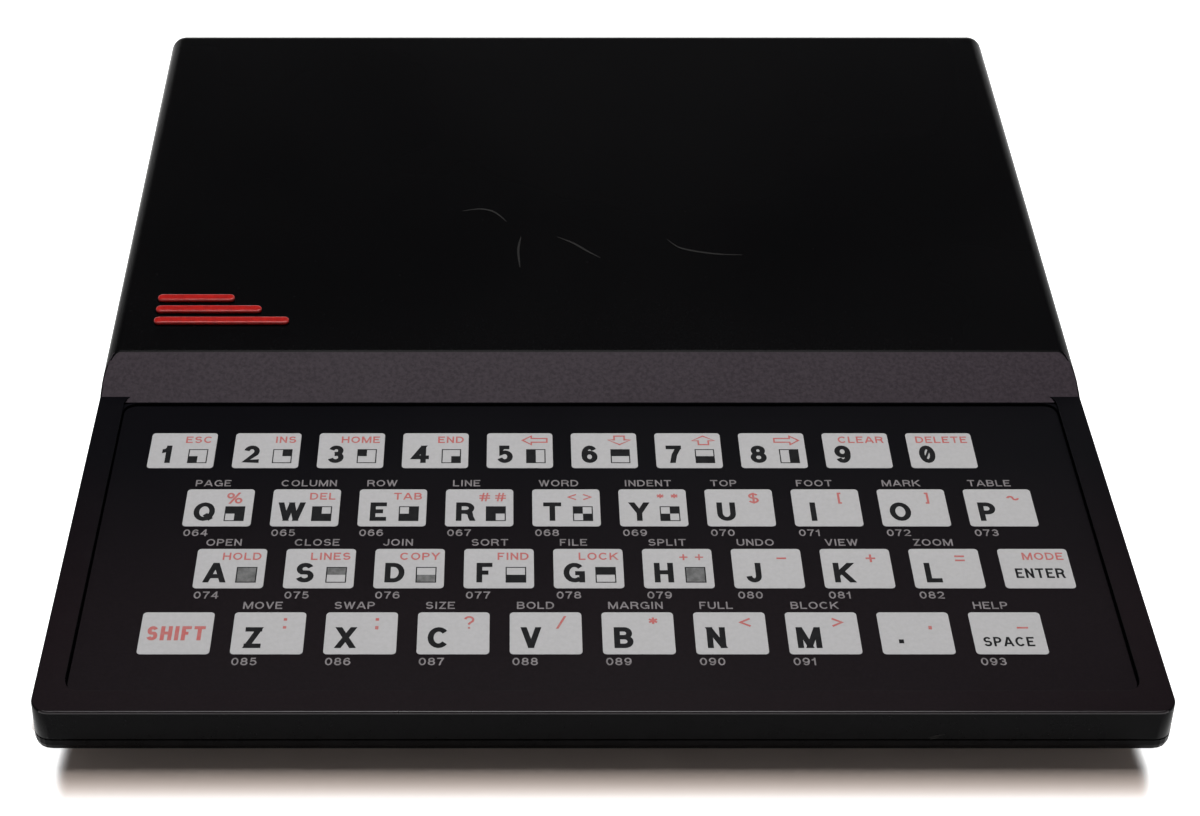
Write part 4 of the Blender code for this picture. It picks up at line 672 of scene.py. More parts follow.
def recessForms():
    length = caseForm["recessRear"] - caseForm["recessFront"]
    middle = (caseForm["recessRear"] + caseForm["recessFront"]) / 2
    pocket = bmesh.new()
    outline = roundedOutline(caseForm["recessWidth"], length, caseForm["recessRadius"], 8, (0, middle))
    raiseOutline(pocket, outline, -caseForm["recessDepth"], caseForm["lipGap"] - caseForm["overlayDrop"])
    pocket.transform(keyboardFrame)
    foot = caseForm["keyboardRun"] / cos(caseForm["keyboardSlope"])
    start, end = caseForm["openingFront"], foot + caseForm["openingPast"]
    apron = bmesh.new()
    centre = (0, (end + start) / 2)
    outline = roundedOutline(caseForm["openingWidth"], end - start, caseForm["recessRadius"], 8, centre)
    raiseOutline(apron, outline, -caseForm["overlayDrop"], caseForm["lip"])
    steeper = caseForm["bandSlope"] - caseForm["keyboardSlope"]
    halved = bmesh.ops.bisect_plane(
        apron, geom=[*apron.verts, *apron.edges, *apron.faces], plane_co=(0, foot, 0),
        plane_no=(0, sin(steeper), -cos(steeper)), clear_outer=True,
    )
    rim = [part for part in halved["geom_cut"] if isinstance(part, bmesh.types.BMEdge)]
    bmesh.ops.contextual_create(apron, geom=rim)
    apron.transform(keyboardFrame)
    return pocket, apron


# Openings in the walls: places are read from the CAD nodes that show through them
wallOpenings = {
    "jacks": ("power_jack", "microphone_jack", "earphone_jack"), "jackAxis": 0.0050,
    "jackHole": 0.0039, "jackRing": 0.0050, "aerialHole": 0.0066, "aerialRing": 0.0078,
    "ringDepth": 0.0006, "slotCentre": -0.01002, "slotHalf": 0.0330, "slotTop": 0.0198, "slotDepth": 0.0052,
    "seat": 0.0129,
    "turn": 0.03,  # keeps the drills' edges off the shell's own
}


def middleOf(node):
    low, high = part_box(node)
    return (Vector(low) + Vector(high)) / 2


def holeForms():
    forms = []
    axis = wallOpenings["seat"] + wallOpenings["jackAxis"]
    jackSize = (wallOpenings["jackHole"], wallOpenings["jackRing"])
    holes = [(middleOf(name).y, axis, *jackSize) for name in wallOpenings["jacks"]]
    aerial = middleOf("aerial_socket_shell")
    holes.append((aerial.y, aerial.z, wallOpenings["aerialHole"], wallOpenings["aerialRing"]))
    for y, z, radius, ring in holes:
        lean = (z - caseForm["seam"]) * tan(caseForm["draft"])
        place = at(-caseForm["width"] / 2, y, z) @ alongX @ Matrix.Rotation(wallOpenings["turn"], 4, "Z")
        forms.append(cylinderForm(radius, -clear, caseForm["wall"] + lean + clear, 40, place))
        forms.append(cylinderForm(ring, -clear, lean + wallOpenings["ringDepth"], 48, place))
    return forms


def slotForm(low):
    centre, half = wallOpenings["slotCentre"], wallOpenings["slotHalf"]
    start, top = rear - wallOpenings["slotDepth"], wallOpenings["slotTop"]
    return boxForm((centre - half, start, low), (centre + half, rear + clear, top))


def facingOf(face):  # which of the three sloped planes a face lies in
    slopes = {"keyboard": caseForm["keyboardSlope"], "band": caseForm["bandSlope"], "deck": deckSlope}
    for name, slope in slopes.items():
        if face.normal.dot((0, -sin(slope), cos(slope))) > 0.99995:  # within half a degree
            return name
    return "other"


def isStepRim(edge):  # round the keyboard plane and the band, but not the valley between them
    kinds = {facingOf(face) for face in edge.link_faces}
    return len(kinds) == 2 and bool(kinds & {"keyboard", "band"}) and kinds != {"keyboard", "band"}


def isSeamRim(edge):  # round the lower face
    low = caseForm["seam"] + caseForm["gap"] + near
    atFoot = max(vert.co.z for vert in edge.verts) < low
    return atFoot and min(face.normal.z for face in edge.link_faces) < -0.9


def isRecessRim(edge):  # the upper edge of the overlay's recess
    kinds = [facingOf(face) for face in edge.link_faces]
    if sorted(kinds) != ["keyboard", "other"]:
        return False
    flat, wall = edge.link_faces if kinds[0] == "keyboard" else reversed(edge.link_faces)
    runs = [vert.co.y - front for vert in edge.verts]
    atTop = abs(edge.verts[0].co.z - keyboardLevel(runs[0])) < near
    run = caseForm["keyboardRun"] / 2
    middle = Vector((0, front + run, keyboardLevel(run)))
    inward = wall.normal.dot(wall.calc_center_median() - middle) < 0
    upright = abs(wall.normal.dot(flat.normal)) < 0.2
    return atTop and inward and upright and min(runs) < caseForm["keyboardRun"] - caseForm["bandRun"]


def makeTopCase():
    low = caseForm["seam"] + caseForm["gap"]
    block = caseBlock(0, low, caseForm["cornerRadius"], caseForm["deckFillet"], 9)
    data = meshFrom("topCaseShell", block)
    shell = addPiece("topCaseShell", data, casePlastic)
    carve(shell, [cutterFrom("aboveKeyboard", spaceAboveKeyboard(0))])
    reshape(shell, lambda form: roundEdges(form, isStepRim, caseForm["rimRadius"], 4))
    reshape(shell, lambda form: roundEdges(form, isSeamRim, caseForm["seamRadius"], 2))
    wall = caseForm["wall"]
    inside = caseBlock(wall, low - caseForm["lip"], caseForm["innerRadius"], caseForm["innerFillet"], 2)
    hollow = cutterFrom("hollow", inside)
    carve(hollow, [cutterFrom("underKeyboard", spaceAboveKeyboard(wall))])
    carve(shell, [hollow])
    half = caseForm["width"] / 2 - wall / 2 - caseForm["openingPast"]
    tray = boxForm(
        (-half, wall / 2, -caseForm["recessDepth"] - caseForm["trayThickness"]),
        (half, caseForm["recessRear"] + caseForm["trayThickness"], -wall / 2),
    )
    tray.transform(keyboardFrame)
    carve(shell, [cutterFrom("tray", tray)], "UNION")
    carve(shell, [cutterFrom(f"recess{number}", form) for number, form in enumerate(recessForms())])
    carve(shell, [cutterFrom(f"hole{number}", form) for number, form in enumerate(holeForms())])
    carve(shell, [cutterFrom("slot", slotForm(caseForm["seam"] - clear))])
    reshape(shell, lambda form: roundEdges(form, isRecessRim, caseForm["recessRim"], 2))
    finishTopCase(shell)
    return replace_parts(shell, "top_case")


# Where the shell's other finishes lie (the band's painted sheen, the panel with its painted shade towards the
# step, the rim): runs from the front, levels, and how level a face is
bandZone = {"start": 0.066, "end": 0.0785, "above": 0.0185, "spread": 0.012}
panelZone = {"past": 0.0008, "below": 0.0015, "level": 0.9}
rimZone = {"end": 0.0006, "below": 0.0006, "steepest": 0.1, "flattest": 0.985}
smoothLimit = 30


def finishOf(face):  # index in the shell's list of finishes
    run, tilt, level = face.center.y - front, face.normal.z, face.center.z
    if run < rimZone["end"] and rimZone["steepest"] < tilt < rimZone["flattest"]:
        if level > caseForm["frontHeight"] - rimZone["below"]:
            return 3
    if abs(tilt - cos(caseForm["bandSlope"])) < bandZone["spread"] and level > bandZone["above"]:
        if bandZone["start"] < run < bandZone["end"]:
            return 1
    if tilt > panelZone["level"] and run < caseForm["keyboardRun"] + panelZone["past"]:
        if level > keyboardLevel(run) - panelZone["below"]:
            return 2
    return 0


def finishTopCase(shell):
    data = shell.data
    data.materials.clear()
    for finish in (casePlastic, bandPaintedSheen, panelPlastic, rimPlastic):
        data.materials.append(finish)
    for face in data.polygons:
        face.material_index = finishOf(face)
    smoothShade(data, smoothLimit)
    holdFlats(data, cos(radians(smoothLimit)))


def isFlat(face):  # a wall or one of the three sloped planes, and not a rounding
    x, y, z = (abs(part) for part in face.normal)
    return facingOf(face) != "other" or max(x, y) > 0.9995 or z > 0.9999


def holdFlats(data, nearness):  # flat faces keep their own normal, and each rounding runs out into it
    flats = {}
    for face in data.polygons:
        if isFlat(face):
            for vert in face.vertices:
                flats.setdefault(vert, []).append(face.normal.copy())
    smooth = [corner.vector.copy() for corner in data.corner_normals]
    normals = [None] * len(data.loops)
    for face in data.polygons:
        for corner in face.loop_indices:
            around = flats.get(data.loops[corner].vertex_index, ())
            beside = [one for one in around if one.dot(face.normal) > nearness]
            if isFlat(face):
                normals[corner] = face.normal.copy()
            elif beside:
                normals[corner] = max(beside, key=face.normal.dot)
            else:
                normals[corner] = smooth[corner]
    data.normals_split_custom_set(normals)


makeTopCase()
print("top case made")

# Three plain raised bars at the front left of the deck
badgeBars = {
    "lengths": (0.0235, 0.0185, 0.0135), "width": 0.0016, "pitch": 0.0030, "rise": 0.0007,
    "left": 0.0079, "ahead": 0.0074, "edge": 0.00022, "foot": 0.00002, "endRound": 0.49,  # of the width
}


def makeBadgeBars():
    form = bmesh.new()
    left = -caseForm["width"] / 2 + badgeBars["left"]
    width = badgeBars["width"]
    for number, length in enumerate(badgeBars["lengths"]):
        centre = (left + length / 2, badgeBars["ahead"] + number * badgeBars["pitch"])
        outline = roundedOutline(length, width, width * badgeBars["endRound"], 8, centre)
        raiseOutline(form, outline, badgeBars["foot"], badgeBars["rise"])
    faceOut(form)
    piece = addPiece("badgeBars", meshFrom("badgeBars", form, deckFrame), badgePaint, 40)
    softenEdges(piece, badgeBars["edge"], 3)
    piece.modifiers.new("normals", "WEIGHTED_NORMAL").keep_sharp = True


makeBadgeBars()
print("badge bars made")

# The printed keys. Distances are across and up the keyboard's slope, in metres.
keyGrid = {
    "left": -0.07308, "top": 0.06148, "across": 0.013919, "down": 0.013676,
    "offsets": (0.0, 0.532, 0.761, 0.273), "width": 0.01088, "height": 0.0086, "corner": 0.0006,
    "foot": 0.000004, "rise": 0.00006, "edge": 0.00004, "ink": 0.000012, "layer": 0.0000004,
}
surfaceLevel = -caseForm["overlayDrop"]
letterLook = {"height": 0.00425, "middle": (0.0030, 0.0032), "low": 0.00125, "line": 0.00090}
wordKeys = {  # across and up from the key's corner, height, line, side, stretch
    "SHIFT": (0.00544, 0.0028, 0.0029, 0.00062, "CENTER", 0.86),
    "SPACE": (0.00908, 0.0016, 0.0019, 0.00034, "RIGHT", 0.98),
    "ENTER": (0.00584, 0.0022, 0.0021, 0.00036, "CENTER", 0.92),
    ".": (0.0026, 0.0022, 0.00425, 0.00075, "LEFT", 1.0),
}
markLook = {  # in from the right edge, down from the top, height, line, side, stretch, gap
    "arrow": (0.0008, 0.0006, 0.0024, 0.00028, "RIGHT", 1.0, 0.16),
    "dot": (0.0031, 0.0008, 0.0026, 0.00052, "CENTER", 1.1, 0.16),
    "sign": (0.0031, 0.0008, 0.0026, 0.00036, "CENTER", 1.1, 0.16),
    "pair": (0.0012, 0.00085, 0.0020, 0.00028, "RIGHT", 1.2, 0.34),
    "word": (0.0008, 0.00085, 0.0016, 0.00028, "RIGHT", 1.15, 0.16),
}
paleLook = {
    "height": 0.00150, "above": 0.00075, "below": 0.00065, "left": 0.0011, "lowLeft": 0.0004,
    "line": 0.00024, "wide": 1.16, "firstCode": 54,
}
noughtSlash = ((-0.0008, 0.0007), (-0.0004, 0.0006), (0.0008, 0.0036), (0.0004, 0.0037))
mosaicLook = {"width": 0.0032, "height": 0.0034, "right": 0.0012, "low": 0.0012, "line": 0.00018}
keyRows = (
    [("1", "ESC", 1), ("2", "INS", 8), ("3", "HOME", 4), ("4", "END", 2), ("5", "←", 5),
     ("6", "↓", 12), ("7", "↑", 3), ("8", "→", 10), ("9", "CLEAR", None), ("0", "DELETE", None)],
    [("Q", "%", 14), ("W", "DEL", 7), ("E", "TAB", 11), ("R", "##", 13), ("T", "<>", 6),
     ("Y", "**", 9), ("U", "$", None), ("I", "[", None), ("O", "]", None), ("P", "~", None)],
    [("A", "HOLD", "grey"), ("S", "LINES", "top"), ("D", "COPY", "low"), ("F", "FIND", 3), ("G", "LOCK", 12),
     ("H", "++", "grey"), ("J", "-", None), ("K", "+", None), ("L", "=", None), ("ENTER", "MODE", None)],
    [("SHIFT", "", None), ("Z", ":", None), ("X", ";", None), ("C", "?", None), ("V", "/", None),
     ("B", "*", None), ("N", "<", None), ("M", ">", None), (".", ",", None), ("SPACE", "_", None)],
)

rowWords = (  # plain editing words over rows 2 to 4
    ("PAGE", "COLUMN", "ROW", "LINE", "WORD", "INDENT", "TOP", "FOOT", "MARK", "TABLE"),
    ("OPEN", "CLOSE", "JOIN", "SORT", "FILE", "SPLIT", "UNDO", "VIEW", "ZOOM", ""),
    ("", "MOVE", "SWAP", "SIZE", "BOLD", "MARGIN", "FULL", "BLOCK", "", "HELP"),
)


def keyCorner(row, column):  # lower left corner of a key
    x = keyGrid["left"] + (column + keyGrid["offsets"][row]) * keyGrid["across"]
    return x, keyGrid["top"] - row * keyGrid["down"] - keyGrid["height"]


# Letter skeletons in a box one unit wide and high: a width, then strokes of points and arcs.
# An arc is centre x, centre y, radius x, radius y, first and last angle.
glyphs = {
    "0": (0.62, [[(0.5, 0.5, 0.5, 0.5, 0, 360)]]),
    "1": (0.42, [[(0.72, 0), (0.72, 1)], [(0, 0.76), (0.42, 0.80), (0.72, 0.98)]]),
    "2": (0.62, [[(0.49, 0.70, 0.49, 0.30, 170, -38), (0.02, 0), (1, 0)]]),
    "3": (0.62, [
        [(0.48, 0.75, 0.44, 0.25, 165, -90), (0.36, 0.50)],
        [(0.36, 0.53), (0.48, 0.27, 0.50, 0.27, 90, -162)],
    ]),
    "4": (0.66, [[(0.70, 1), (0, 0.27), (1, 0.27)], [(0.74, 0), (0.74, 1)]]),
    "5": (0.62, [[(0.92, 1), (0.18, 1), (0.48, 0.32, 0.50, 0.32, 140, -158)]]),
    "6": (0.62, [[(0.51, 0.31, 0.49, 0.31, 0, 360)], [(0.53, 0.50, 0.52, 0.50, 38, 180), (0.01, 0.32)]]),
    "7": (0.60, [[(0, 1), (1, 1)], [(0.95, 0.93), (0.55, 0.46), (0.38, 0)]]),
    "8": (0.62, [[(0.5, 0.76, 0.42, 0.24, 0, 360)], [(0.5, 0.27, 0.5, 0.27, 0, 360)]]),
    "9": (0.62, [[(0.49, 0.69, 0.49, 0.31, 0, 360)], [(0.47, 0.50, 0.52, 0.50, 218, 360), (0.99, 0.68)]]),
    "A": (0.78, [[(0, 0), (0.44, 1)], [(1, 0), (0.56, 1)], [(0.2, 0.27), (0.8, 0.27)]]),
    "B": (0.68, [
        [(0, 0), (0, 1)], [(0, 1), (0.55, 0.76, 0.38, 0.24, 90, -90), (0, 0.52)],
        [(0, 0.52), (0.58, 0.26, 0.42, 0.26, 90, -90), (0, 0)],
    ]),
    "C": (0.76, [[(0.52, 0.5, 0.52, 0.5, 40, 320)]]),
    "D": (0.72, [[(0, 0), (0, 1)], [(0, 1), (0.42, 0.5, 0.58, 0.5, 90, -90), (0, 0)]]),
    "E": (0.62, [[(0, 0), (0, 1)], [(0, 1), (1, 1)], [(0, 0.52), (0.94, 0.52)], [(0, 0), (1, 0)]]),
    "F": (0.58, [[(0, 0), (0, 1)], [(0, 1), (1, 1)], [(0, 0.50), (0.90, 0.50)]]),
    "G": (0.78, [[(0.52, 0.5, 0.52, 0.5, 42, 312)], [(1, 0), (1, 0.46), (0.56, 0.46)]]),
    "H": (0.70, [[(0, 0), (0, 1)], [(1, 0), (1, 1)], [(0, 0.52), (1, 0.52)]]),
    "I": (0.20, [[(0.5, 0), (0.5, 1)]]),
    "J": (0.56, [[(1, 1), (0.5, 0.28, 0.5, 0.28, 0, -178)]]),
    "K": (0.70, [[(0, 0), (0, 1)], [(0.95, 1), (0.04, 0.36)], [(0.36, 0.60), (1, 0)]]),
    "L": (0.58, [[(0, 1), (0, 0)], [(0, 0), (1, 0)]]),
    "M": (0.86, [[(0, 0), (0, 1)], [(1, 0), (1, 1)], [(0.06, 1), (0.5, 0)], [(0.94, 1), (0.5, 0)]]),
    "N": (0.66, [[(0, 0), (0, 1)], [(1, 0), (1, 1)], [(0.04, 1), (0.96, 0)]]),
    "O": (0.80, [[(0.5, 0.5, 0.5, 0.5, 0, 360)]]),
    "P": (0.64, [[(0, 0), (0, 1)], [(0, 1), (0.50, 0.72, 0.50, 0.28, 90, -90), (0, 0.44)]]),
    "Q": (0.80, [[(0.5, 0.5, 0.5, 0.5, 0, 360)], [(0.56, 0.32), (0.98, -0.04)]]),
    "R": (0.70, [
        [(0, 0), (0, 1)], [(0, 1), (0.50, 0.74, 0.48, 0.26, 90, -90), (0, 0.48)],
        [(0.55, 0.48), (0.86, 0.38), (0.92, 0.14), (1, 0)],
    ]),
    "S": (0.66, [[(0.5, 0.74, 0.46, 0.26, 22, 240), (0.5, 0.27, 0.5, 0.27, 60, -160)]]),
    "T": (0.68, [[(0, 1), (1, 1)], [(0.5, 0), (0.5, 1)]]),
    "U": (0.70, [[(0, 1), (0.5, 0.36, 0.5, 0.36, 180, 360), (1, 1)]]),
    "V": (0.68, [[(0, 1), (0.46, 0)], [(1, 1), (0.54, 0)]]),
    "W": (0.98, [[(0, 1), (0.25, 0)], [(0.49, 1), (0.27, 0)], [(0.51, 1), (0.73, 0)], [(1, 1), (0.75, 0)]]),
    "X": (0.66, [[(0.02, 0), (0.98, 1)], [(0.02, 1), (0.98, 0)]]),
    "Y": (0.68, [[(0, 1), (0.5, 0.42)], [(1, 1), (0.5, 0.42)], [(0.5, 0), (0.5, 0.48)]]),
    "Z": (0.60, [[(0, 1), (1, 1)], [(0.96, 1), (0.04, 0)], [(0, 0), (1, 0)]]),
    "+": (0.68, [[(0.5, 0.12), (0.5, 0.88)], [(0.02, 0.5), (0.98, 0.5)]]),
    "-": (0.68, [[(0.02, 0.5), (0.98, 0.5)]]),
    "=": (0.68, [[(0.02, 0.30), (0.98, 0.30)], [(0.02, 0.70), (0.98, 0.70)]]),
    "/": (0.50, [[(0, 0), (1, 1)]]),
    "<": (0.68, [[(0.98, 0.85), (0.05, 0.5), (0.98, 0.15)]]),
    ">": (0.68, [[(0.02, 0.85), (0.95, 0.5), (0.02, 0.15)]]),
    "[": (0.30, [[(0.98, 1), (0.1, 1), (0.1, 0), (0.98, 0)]]),
    "]": (0.30, [[(0.02, 1), (0.9, 1), (0.9, 0), (0.02, 0)]]),
    ".": (0.22, [[(0.5, 0.0), (0.5, 0.12)]]),
    ",": (0.22, [[(0.5, 0.0), (0.5, 0.14)], [(0.6, 0.0), (0.0, -0.2)]]),
    ":": (0.22, [[(0.5, 0.0), (0.5, 0.13)], [(0.5, 0.66), (0.5, 0.92)]]),
    ";": (0.22, [[(0.5, 0.0), (0.5, 0.13)], [(0.6, 0.0), (0.1, -0.2)], [(0.5, 0.66), (0.5, 0.92)]]),
    "?": (0.55, [[(0.5, 0.74, 0.5, 0.26, 170, -60), (0.5, 0.38), (0.5, 0.28)], [(0.5, 0), (0.5, 0.06)]]),
    "*": (0.60, [[(0.5, 0.35), (0.5, 0.95)], [(0.05, 0.5), (0.95, 0.8)], [(0.05, 0.8), (0.95, 0.5)]]),
    "_": (0.60, [[(0, 0), (1, 0)]]),
    "#": (0.72, [
        [(0.2, 0), (0.38, 1)], [(0.62, 0), (0.80, 1)], [(0, 0.35), (1, 0.35)], [(0, 0.68), (1, 0.68)],
    ]),
    "%": (0.90, [[(0.2, 0.76, 0.2, 0.22, 0, 360)], [(0.8, 0.24, 0.2, 0.22, 0, 360)], [(0.22, 0), (0.78, 1)]]),
    "$": (0.60, [
        [(0.5, 0.72, 0.46, 0.22, 22, 240), (0.5, 0.29, 0.5, 0.23, 60, -160)], [(0.5, -0.06), (0.5, 1.06)],
    ]),
    "←": (1.80, [
        [(1, 0.28), (0.36, 0.28), (0.36, 0), (0, 0.5), (0.36, 1), (0.36, 0.72), (1, 0.72), (1, 0.28)],
    ]),
    "→": (1.80, [
        [(0, 0.28), (0.64, 0.28), (0.64, 0), (1, 0.5), (0.64, 1), (0.64, 0.72), (0, 0.72), (0, 0.28)],
    ]),
    "↑": (1.70, [
        [(0.28, 0), (0.28, 0.45), (0, 0.45), (0.5, 1), (1, 0.45), (0.72, 0.45), (0.72, 0), (0.28, 0)],
    ]),
    "↓": (1.70, [
        [(0.28, 1), (0.28, 0.55), (0, 0.55), (0.5, 0), (1, 0.55), (0.72, 0.55), (0.72, 1), (0.28, 1)],
    ]),
    "~": (0.70, [[(0.25, 0.5, 0.25, 0.16, 180, 20), (0.75, 0.5, 0.25, 0.16, 200, 360)]]),
}
arcStep = 18  # degrees between the points of an arc


def skeletonPoints(stroke, width, height, line):  # a stroke's middle line, drawn in by half its thickness
    points = []
    for part in stroke:
        if len(part) == 2:
            points.append(part)
            continue
        x, y, across, up, first, last = part
        steps = max(2, round(abs(last - first) / arcStep))
        for step in range(steps + 1):
            angle = radians(first + (last - first) * step / steps)
            points.append((x + across * cos(angle), y + up * sin(angle)))
    return [(line / 2 + x * (width - line), line / 2 + y * (height - line)) for x, y in points]


def strokeRibbon(target, points, line, size, place, level):  # ends are cut level with the letter's box
    closed = hypot(points[0][0] - points[-1][0], points[0][1] - points[-1][1]) < line * 0.05
    if closed:
        points = points[:-1]
    pairs = []
    for number, (x, y) in enumerate(points):
        before = points[number - 1] if number or closed else None
        after = points[(number + 1) % len(points)] if number < len(points) - 1 or closed else None
        ways = []
        for one, other in ((before, (x, y)), ((x, y), after)):
            if one is not None and other is not None:
                length = hypot(other[0] - one[0], other[1] - one[1])
                ways.append(((other[0] - one[0]) / length, (other[1] - one[1]) / length))
        wayX = sum(way[0] for way in ways) / len(ways)
        wayY = sum(way[1] for way in ways) / len(ways)
        longer = min(1 / max(wayX * wayX + wayY * wayY, 0.2), 4)
        half = longer * line / 2
        sides = [[x - side * wayY * half, y + side * wayX * half] for side in (1, -1)]
        if before is None or after is None:
            sides = cutEnd((x, y), sides, (wayX, wayY), line, size)
        pairs.append([target.verts.new((place[0] + a, place[1] + b, level)) for a, b in sides])
    for one, other in zip(pairs, pairs[1:] + pairs[:1] if closed else pairs[1:]):
        target.faces.new((one[0], one[1], other[1], other[0]))


def cutEnd(point, sides, way, line, size):
    for axis, other in ((1, 0), (0, 1)):
        for limit, edge in ((line / 2, 0.0), (size[axis] - line / 2, size[axis])):
            if abs(point[axis] - limit) < line * 0.02 and abs(way[axis]) > 0.6:
                for side in sides:
                    reach = (edge - side[axis]) / way[axis]
                    side[axis] = edge
                    side[other] += reach * way[other]
                return sides
    return sides


spaceWidth = 0.3


def lettering(target, words, x, u, height, line, align, stretch, level, gap=0.16):
    known = [letter for letter in words if letter in glyphs or letter == " "]
    widths = []
    for letter in known:
        width = glyphs[letter][0] if letter != " " else spaceWidth
        widths.append(max(width * height * stretch, line))
    total = sum(widths) + gap * height * stretch * (len(known) - 1)
    x -= {"LEFT": 0, "CENTER": total / 2, "RIGHT": total}[align]
    for letter, width in zip(known, widths):
        for number, stroke in enumerate(glyphs[letter][1] if letter != " " else ()):
            points = skeletonPoints(stroke, width, height, line)
            strokeRibbon(target, points, line, (width, height), (x, u), level + number * keyGrid["layer"])
        x += width + gap * height * stretch


def flatBox(target, low, high, level):
    corners = ((low[0], low[1]), (high[0], low[1]), (high[0], high[1]), (low[0], high[1]))
    target.faces.new([target.verts.new((x, u, level)) for x, u in corners])


def flatFrame(target, low, high, line, level):
    flatBox(target, low, (high[0], low[1] + line), level)
    flatBox(target, (low[0], high[1] - line), high, level)
    flatBox(target, (low[0], low[1] + line), (low[0] + line, high[1] - line), level)
    flatBox(target, (high[0] - line, low[1] + line), (high[0], high[1] - line), level)


def mosaic(black, grey, x, u, blocks, level):  # a small framed block picture, two by two
    low = (x + keyGrid["width"] - mosaicLook["right"] - mosaicLook["width"], u + mosaicLook["low"])
    high = (low[0] + mosaicLook["width"], low[1] + mosaicLook["height"])
    middle = ((low[0] + high[0]) / 2, (low[1] + high[1]) / 2)
    flatFrame(black, low, high, mosaicLook["line"], level)
    inset = mosaicLook["line"]
    if blocks == "grey":
        flatBox(grey, (low[0] + inset, low[1] + inset), (high[0] - inset, high[1] - inset), level)
    elif blocks == "top":
        flatBox(grey, (low[0] + inset, middle[1]), (high[0] - inset, high[1] - inset), level)
    elif blocks == "low":
        flatBox(grey, (low[0] + inset, low[1] + inset), (high[0] - inset, middle[1]), level)
    else:
        for bit in range(4):
            if blocks >> bit & 1:
                right, top = bit % 2, bit // 2
                corner = (middle[0] if right else low[0] + inset, middle[1] if top else low[1] + inset)
                far = (high[0] - inset if right else middle[0], high[1] - inset if top else middle[1])
                flatBox(black, corner, far, level)


def kindOf(mark):
    if len(mark) > 1:
        return "pair" if len(mark) == 2 else "word"
    return "arrow" if mark in "←↓↑→" else "dot" if mark in ".,:;" else "sign"


def printKey(caps, black, red, row, column):  # one key's face, its letter and its red mark
    name, mark = keyRows[row][column][:2]
    x, u = keyCorner(row, column)
    right, top = x + keyGrid["width"], u + keyGrid["height"]
    centre = (x + keyGrid["width"] / 2, u + keyGrid["height"] / 2)
    outline = roundedOutline(keyGrid["width"], keyGrid["height"], keyGrid["corner"], 5, centre)
    raiseOutline(caps, outline, surfaceLevel + keyGrid["foot"], surfaceLevel + keyGrid["rise"])
    ink = surfaceLevel + keyGrid["rise"] + keyGrid["ink"]
    middle, low = letterLook["middle"][row > 0], letterLook["low"]
    plain = (middle, low, letterLook["height"], letterLook["line"], "CENTER", 1.0)
    across, up, height, line, side, stretch = wordKeys.get(name, plain)
    lettering(red if name == "SHIFT" else black, name, x + across, u + up, height, line, side, stretch, ink)
    if name == "0":
        level = ink + 3 * keyGrid["layer"]
        black.faces.new([black.verts.new((x + middle + a, u + low + b, level)) for a, b in noughtSlash])
    if mark:
        aside, down, height, line, side, stretch, gap = markLook[kindOf(mark)]
        lettering(red, mark, right - aside, top - down - height, height, line, side, stretch, ink, gap)


def printPale(pale, row, column):  # the word above a key and the code below it
    x, u = keyCorner(row, column)
    height, line, wide = paleLook["height"], paleLook["line"], paleLook["wide"]
    above = u + keyGrid["height"] + paleLook["above"]
    below = u - paleLook["below"] - height
    code = f"{10 * row + column + paleLook['firstCode']:03d}"
    level = surfaceLevel + keyGrid["ink"]
    for words, left, low in ((rowWords[row - 1][column], "left", above), (code, "lowLeft", below)):
        lettering(pale, words, x + paleLook[left], low, height, line, "LEFT", wide, level)


def makeKeys():
    caps, black, red, pale, grey = (bmesh.new() for _ in range(5))
    ink = surfaceLevel + keyGrid["rise"] + keyGrid["ink"]
    for row, keys in enumerate(keyRows):
        for column, (name, mark, blocks) in enumerate(keys):
            printKey(caps, black, red, row, column)
            if blocks is not None:
                mosaic(black, grey, *keyCorner(row, column), blocks, ink)
            if row and name not in ("SHIFT", "ENTER", "."):
                printPale(pale, row, column)
    faceOut(caps)
    capPiece = addPiece("keyCaps", meshFrom("keyCaps", caps, keyboardFrame), keyPrint, 50)
    softenEdges(capPiece, keyGrid["edge"], 2)
    prints = (
        ("keyLetters", black, blackInk), ("keyMarks", red, redInk), ("rowCodes", pale, paleInk),
        ("greyBlocks", grey, greyInk),
    )
    for name, form, finish in prints:
        addPiece(name, meshFrom(name, form, keyboardFrame), finish)


# Painted shadow: a dark line round the sheet, where the recess's edge shades it
paintedShadowLine = {"rear": 0.06907, "ahead": 0.0007, "aside": 0.0003, "corner": 0.0022}


def makePaintedShadowLine():
    form = bmesh.new()
    width, aside = caseForm["openingWidth"], paintedShadowLine["aside"]
    start, end = caseForm["openingFront"], paintedShadowLine["rear"]
    outer = roundedOutline(width, end - start, paintedShadowLine["corner"], 8, (0, (start + end) / 2))
    end -= paintedShadowLine["ahead"]
    inner = roundedOutline(
        width - 2 * aside, end - start, paintedShadowLine["corner"] - aside, 8, (0, (start + end) / 2),
    )
    level = surfaceLevel + keyGrid["ink"]
    pairs = [[form.verts.new((x, u, level)) for x, u in pair] for pair in zip(outer, inner)]
    for one, other in zip(pairs, pairs[1:] + pairs[:1]):
        form.faces.new((one[0], other[0], other[1], one[1]))
    addPiece("paintedShadowLine", meshFrom("paintedShadowLine", form, keyboardFrame), paintedSheetShadow)


makeKeys()
makePaintedShadowLine()
print("keys printed")

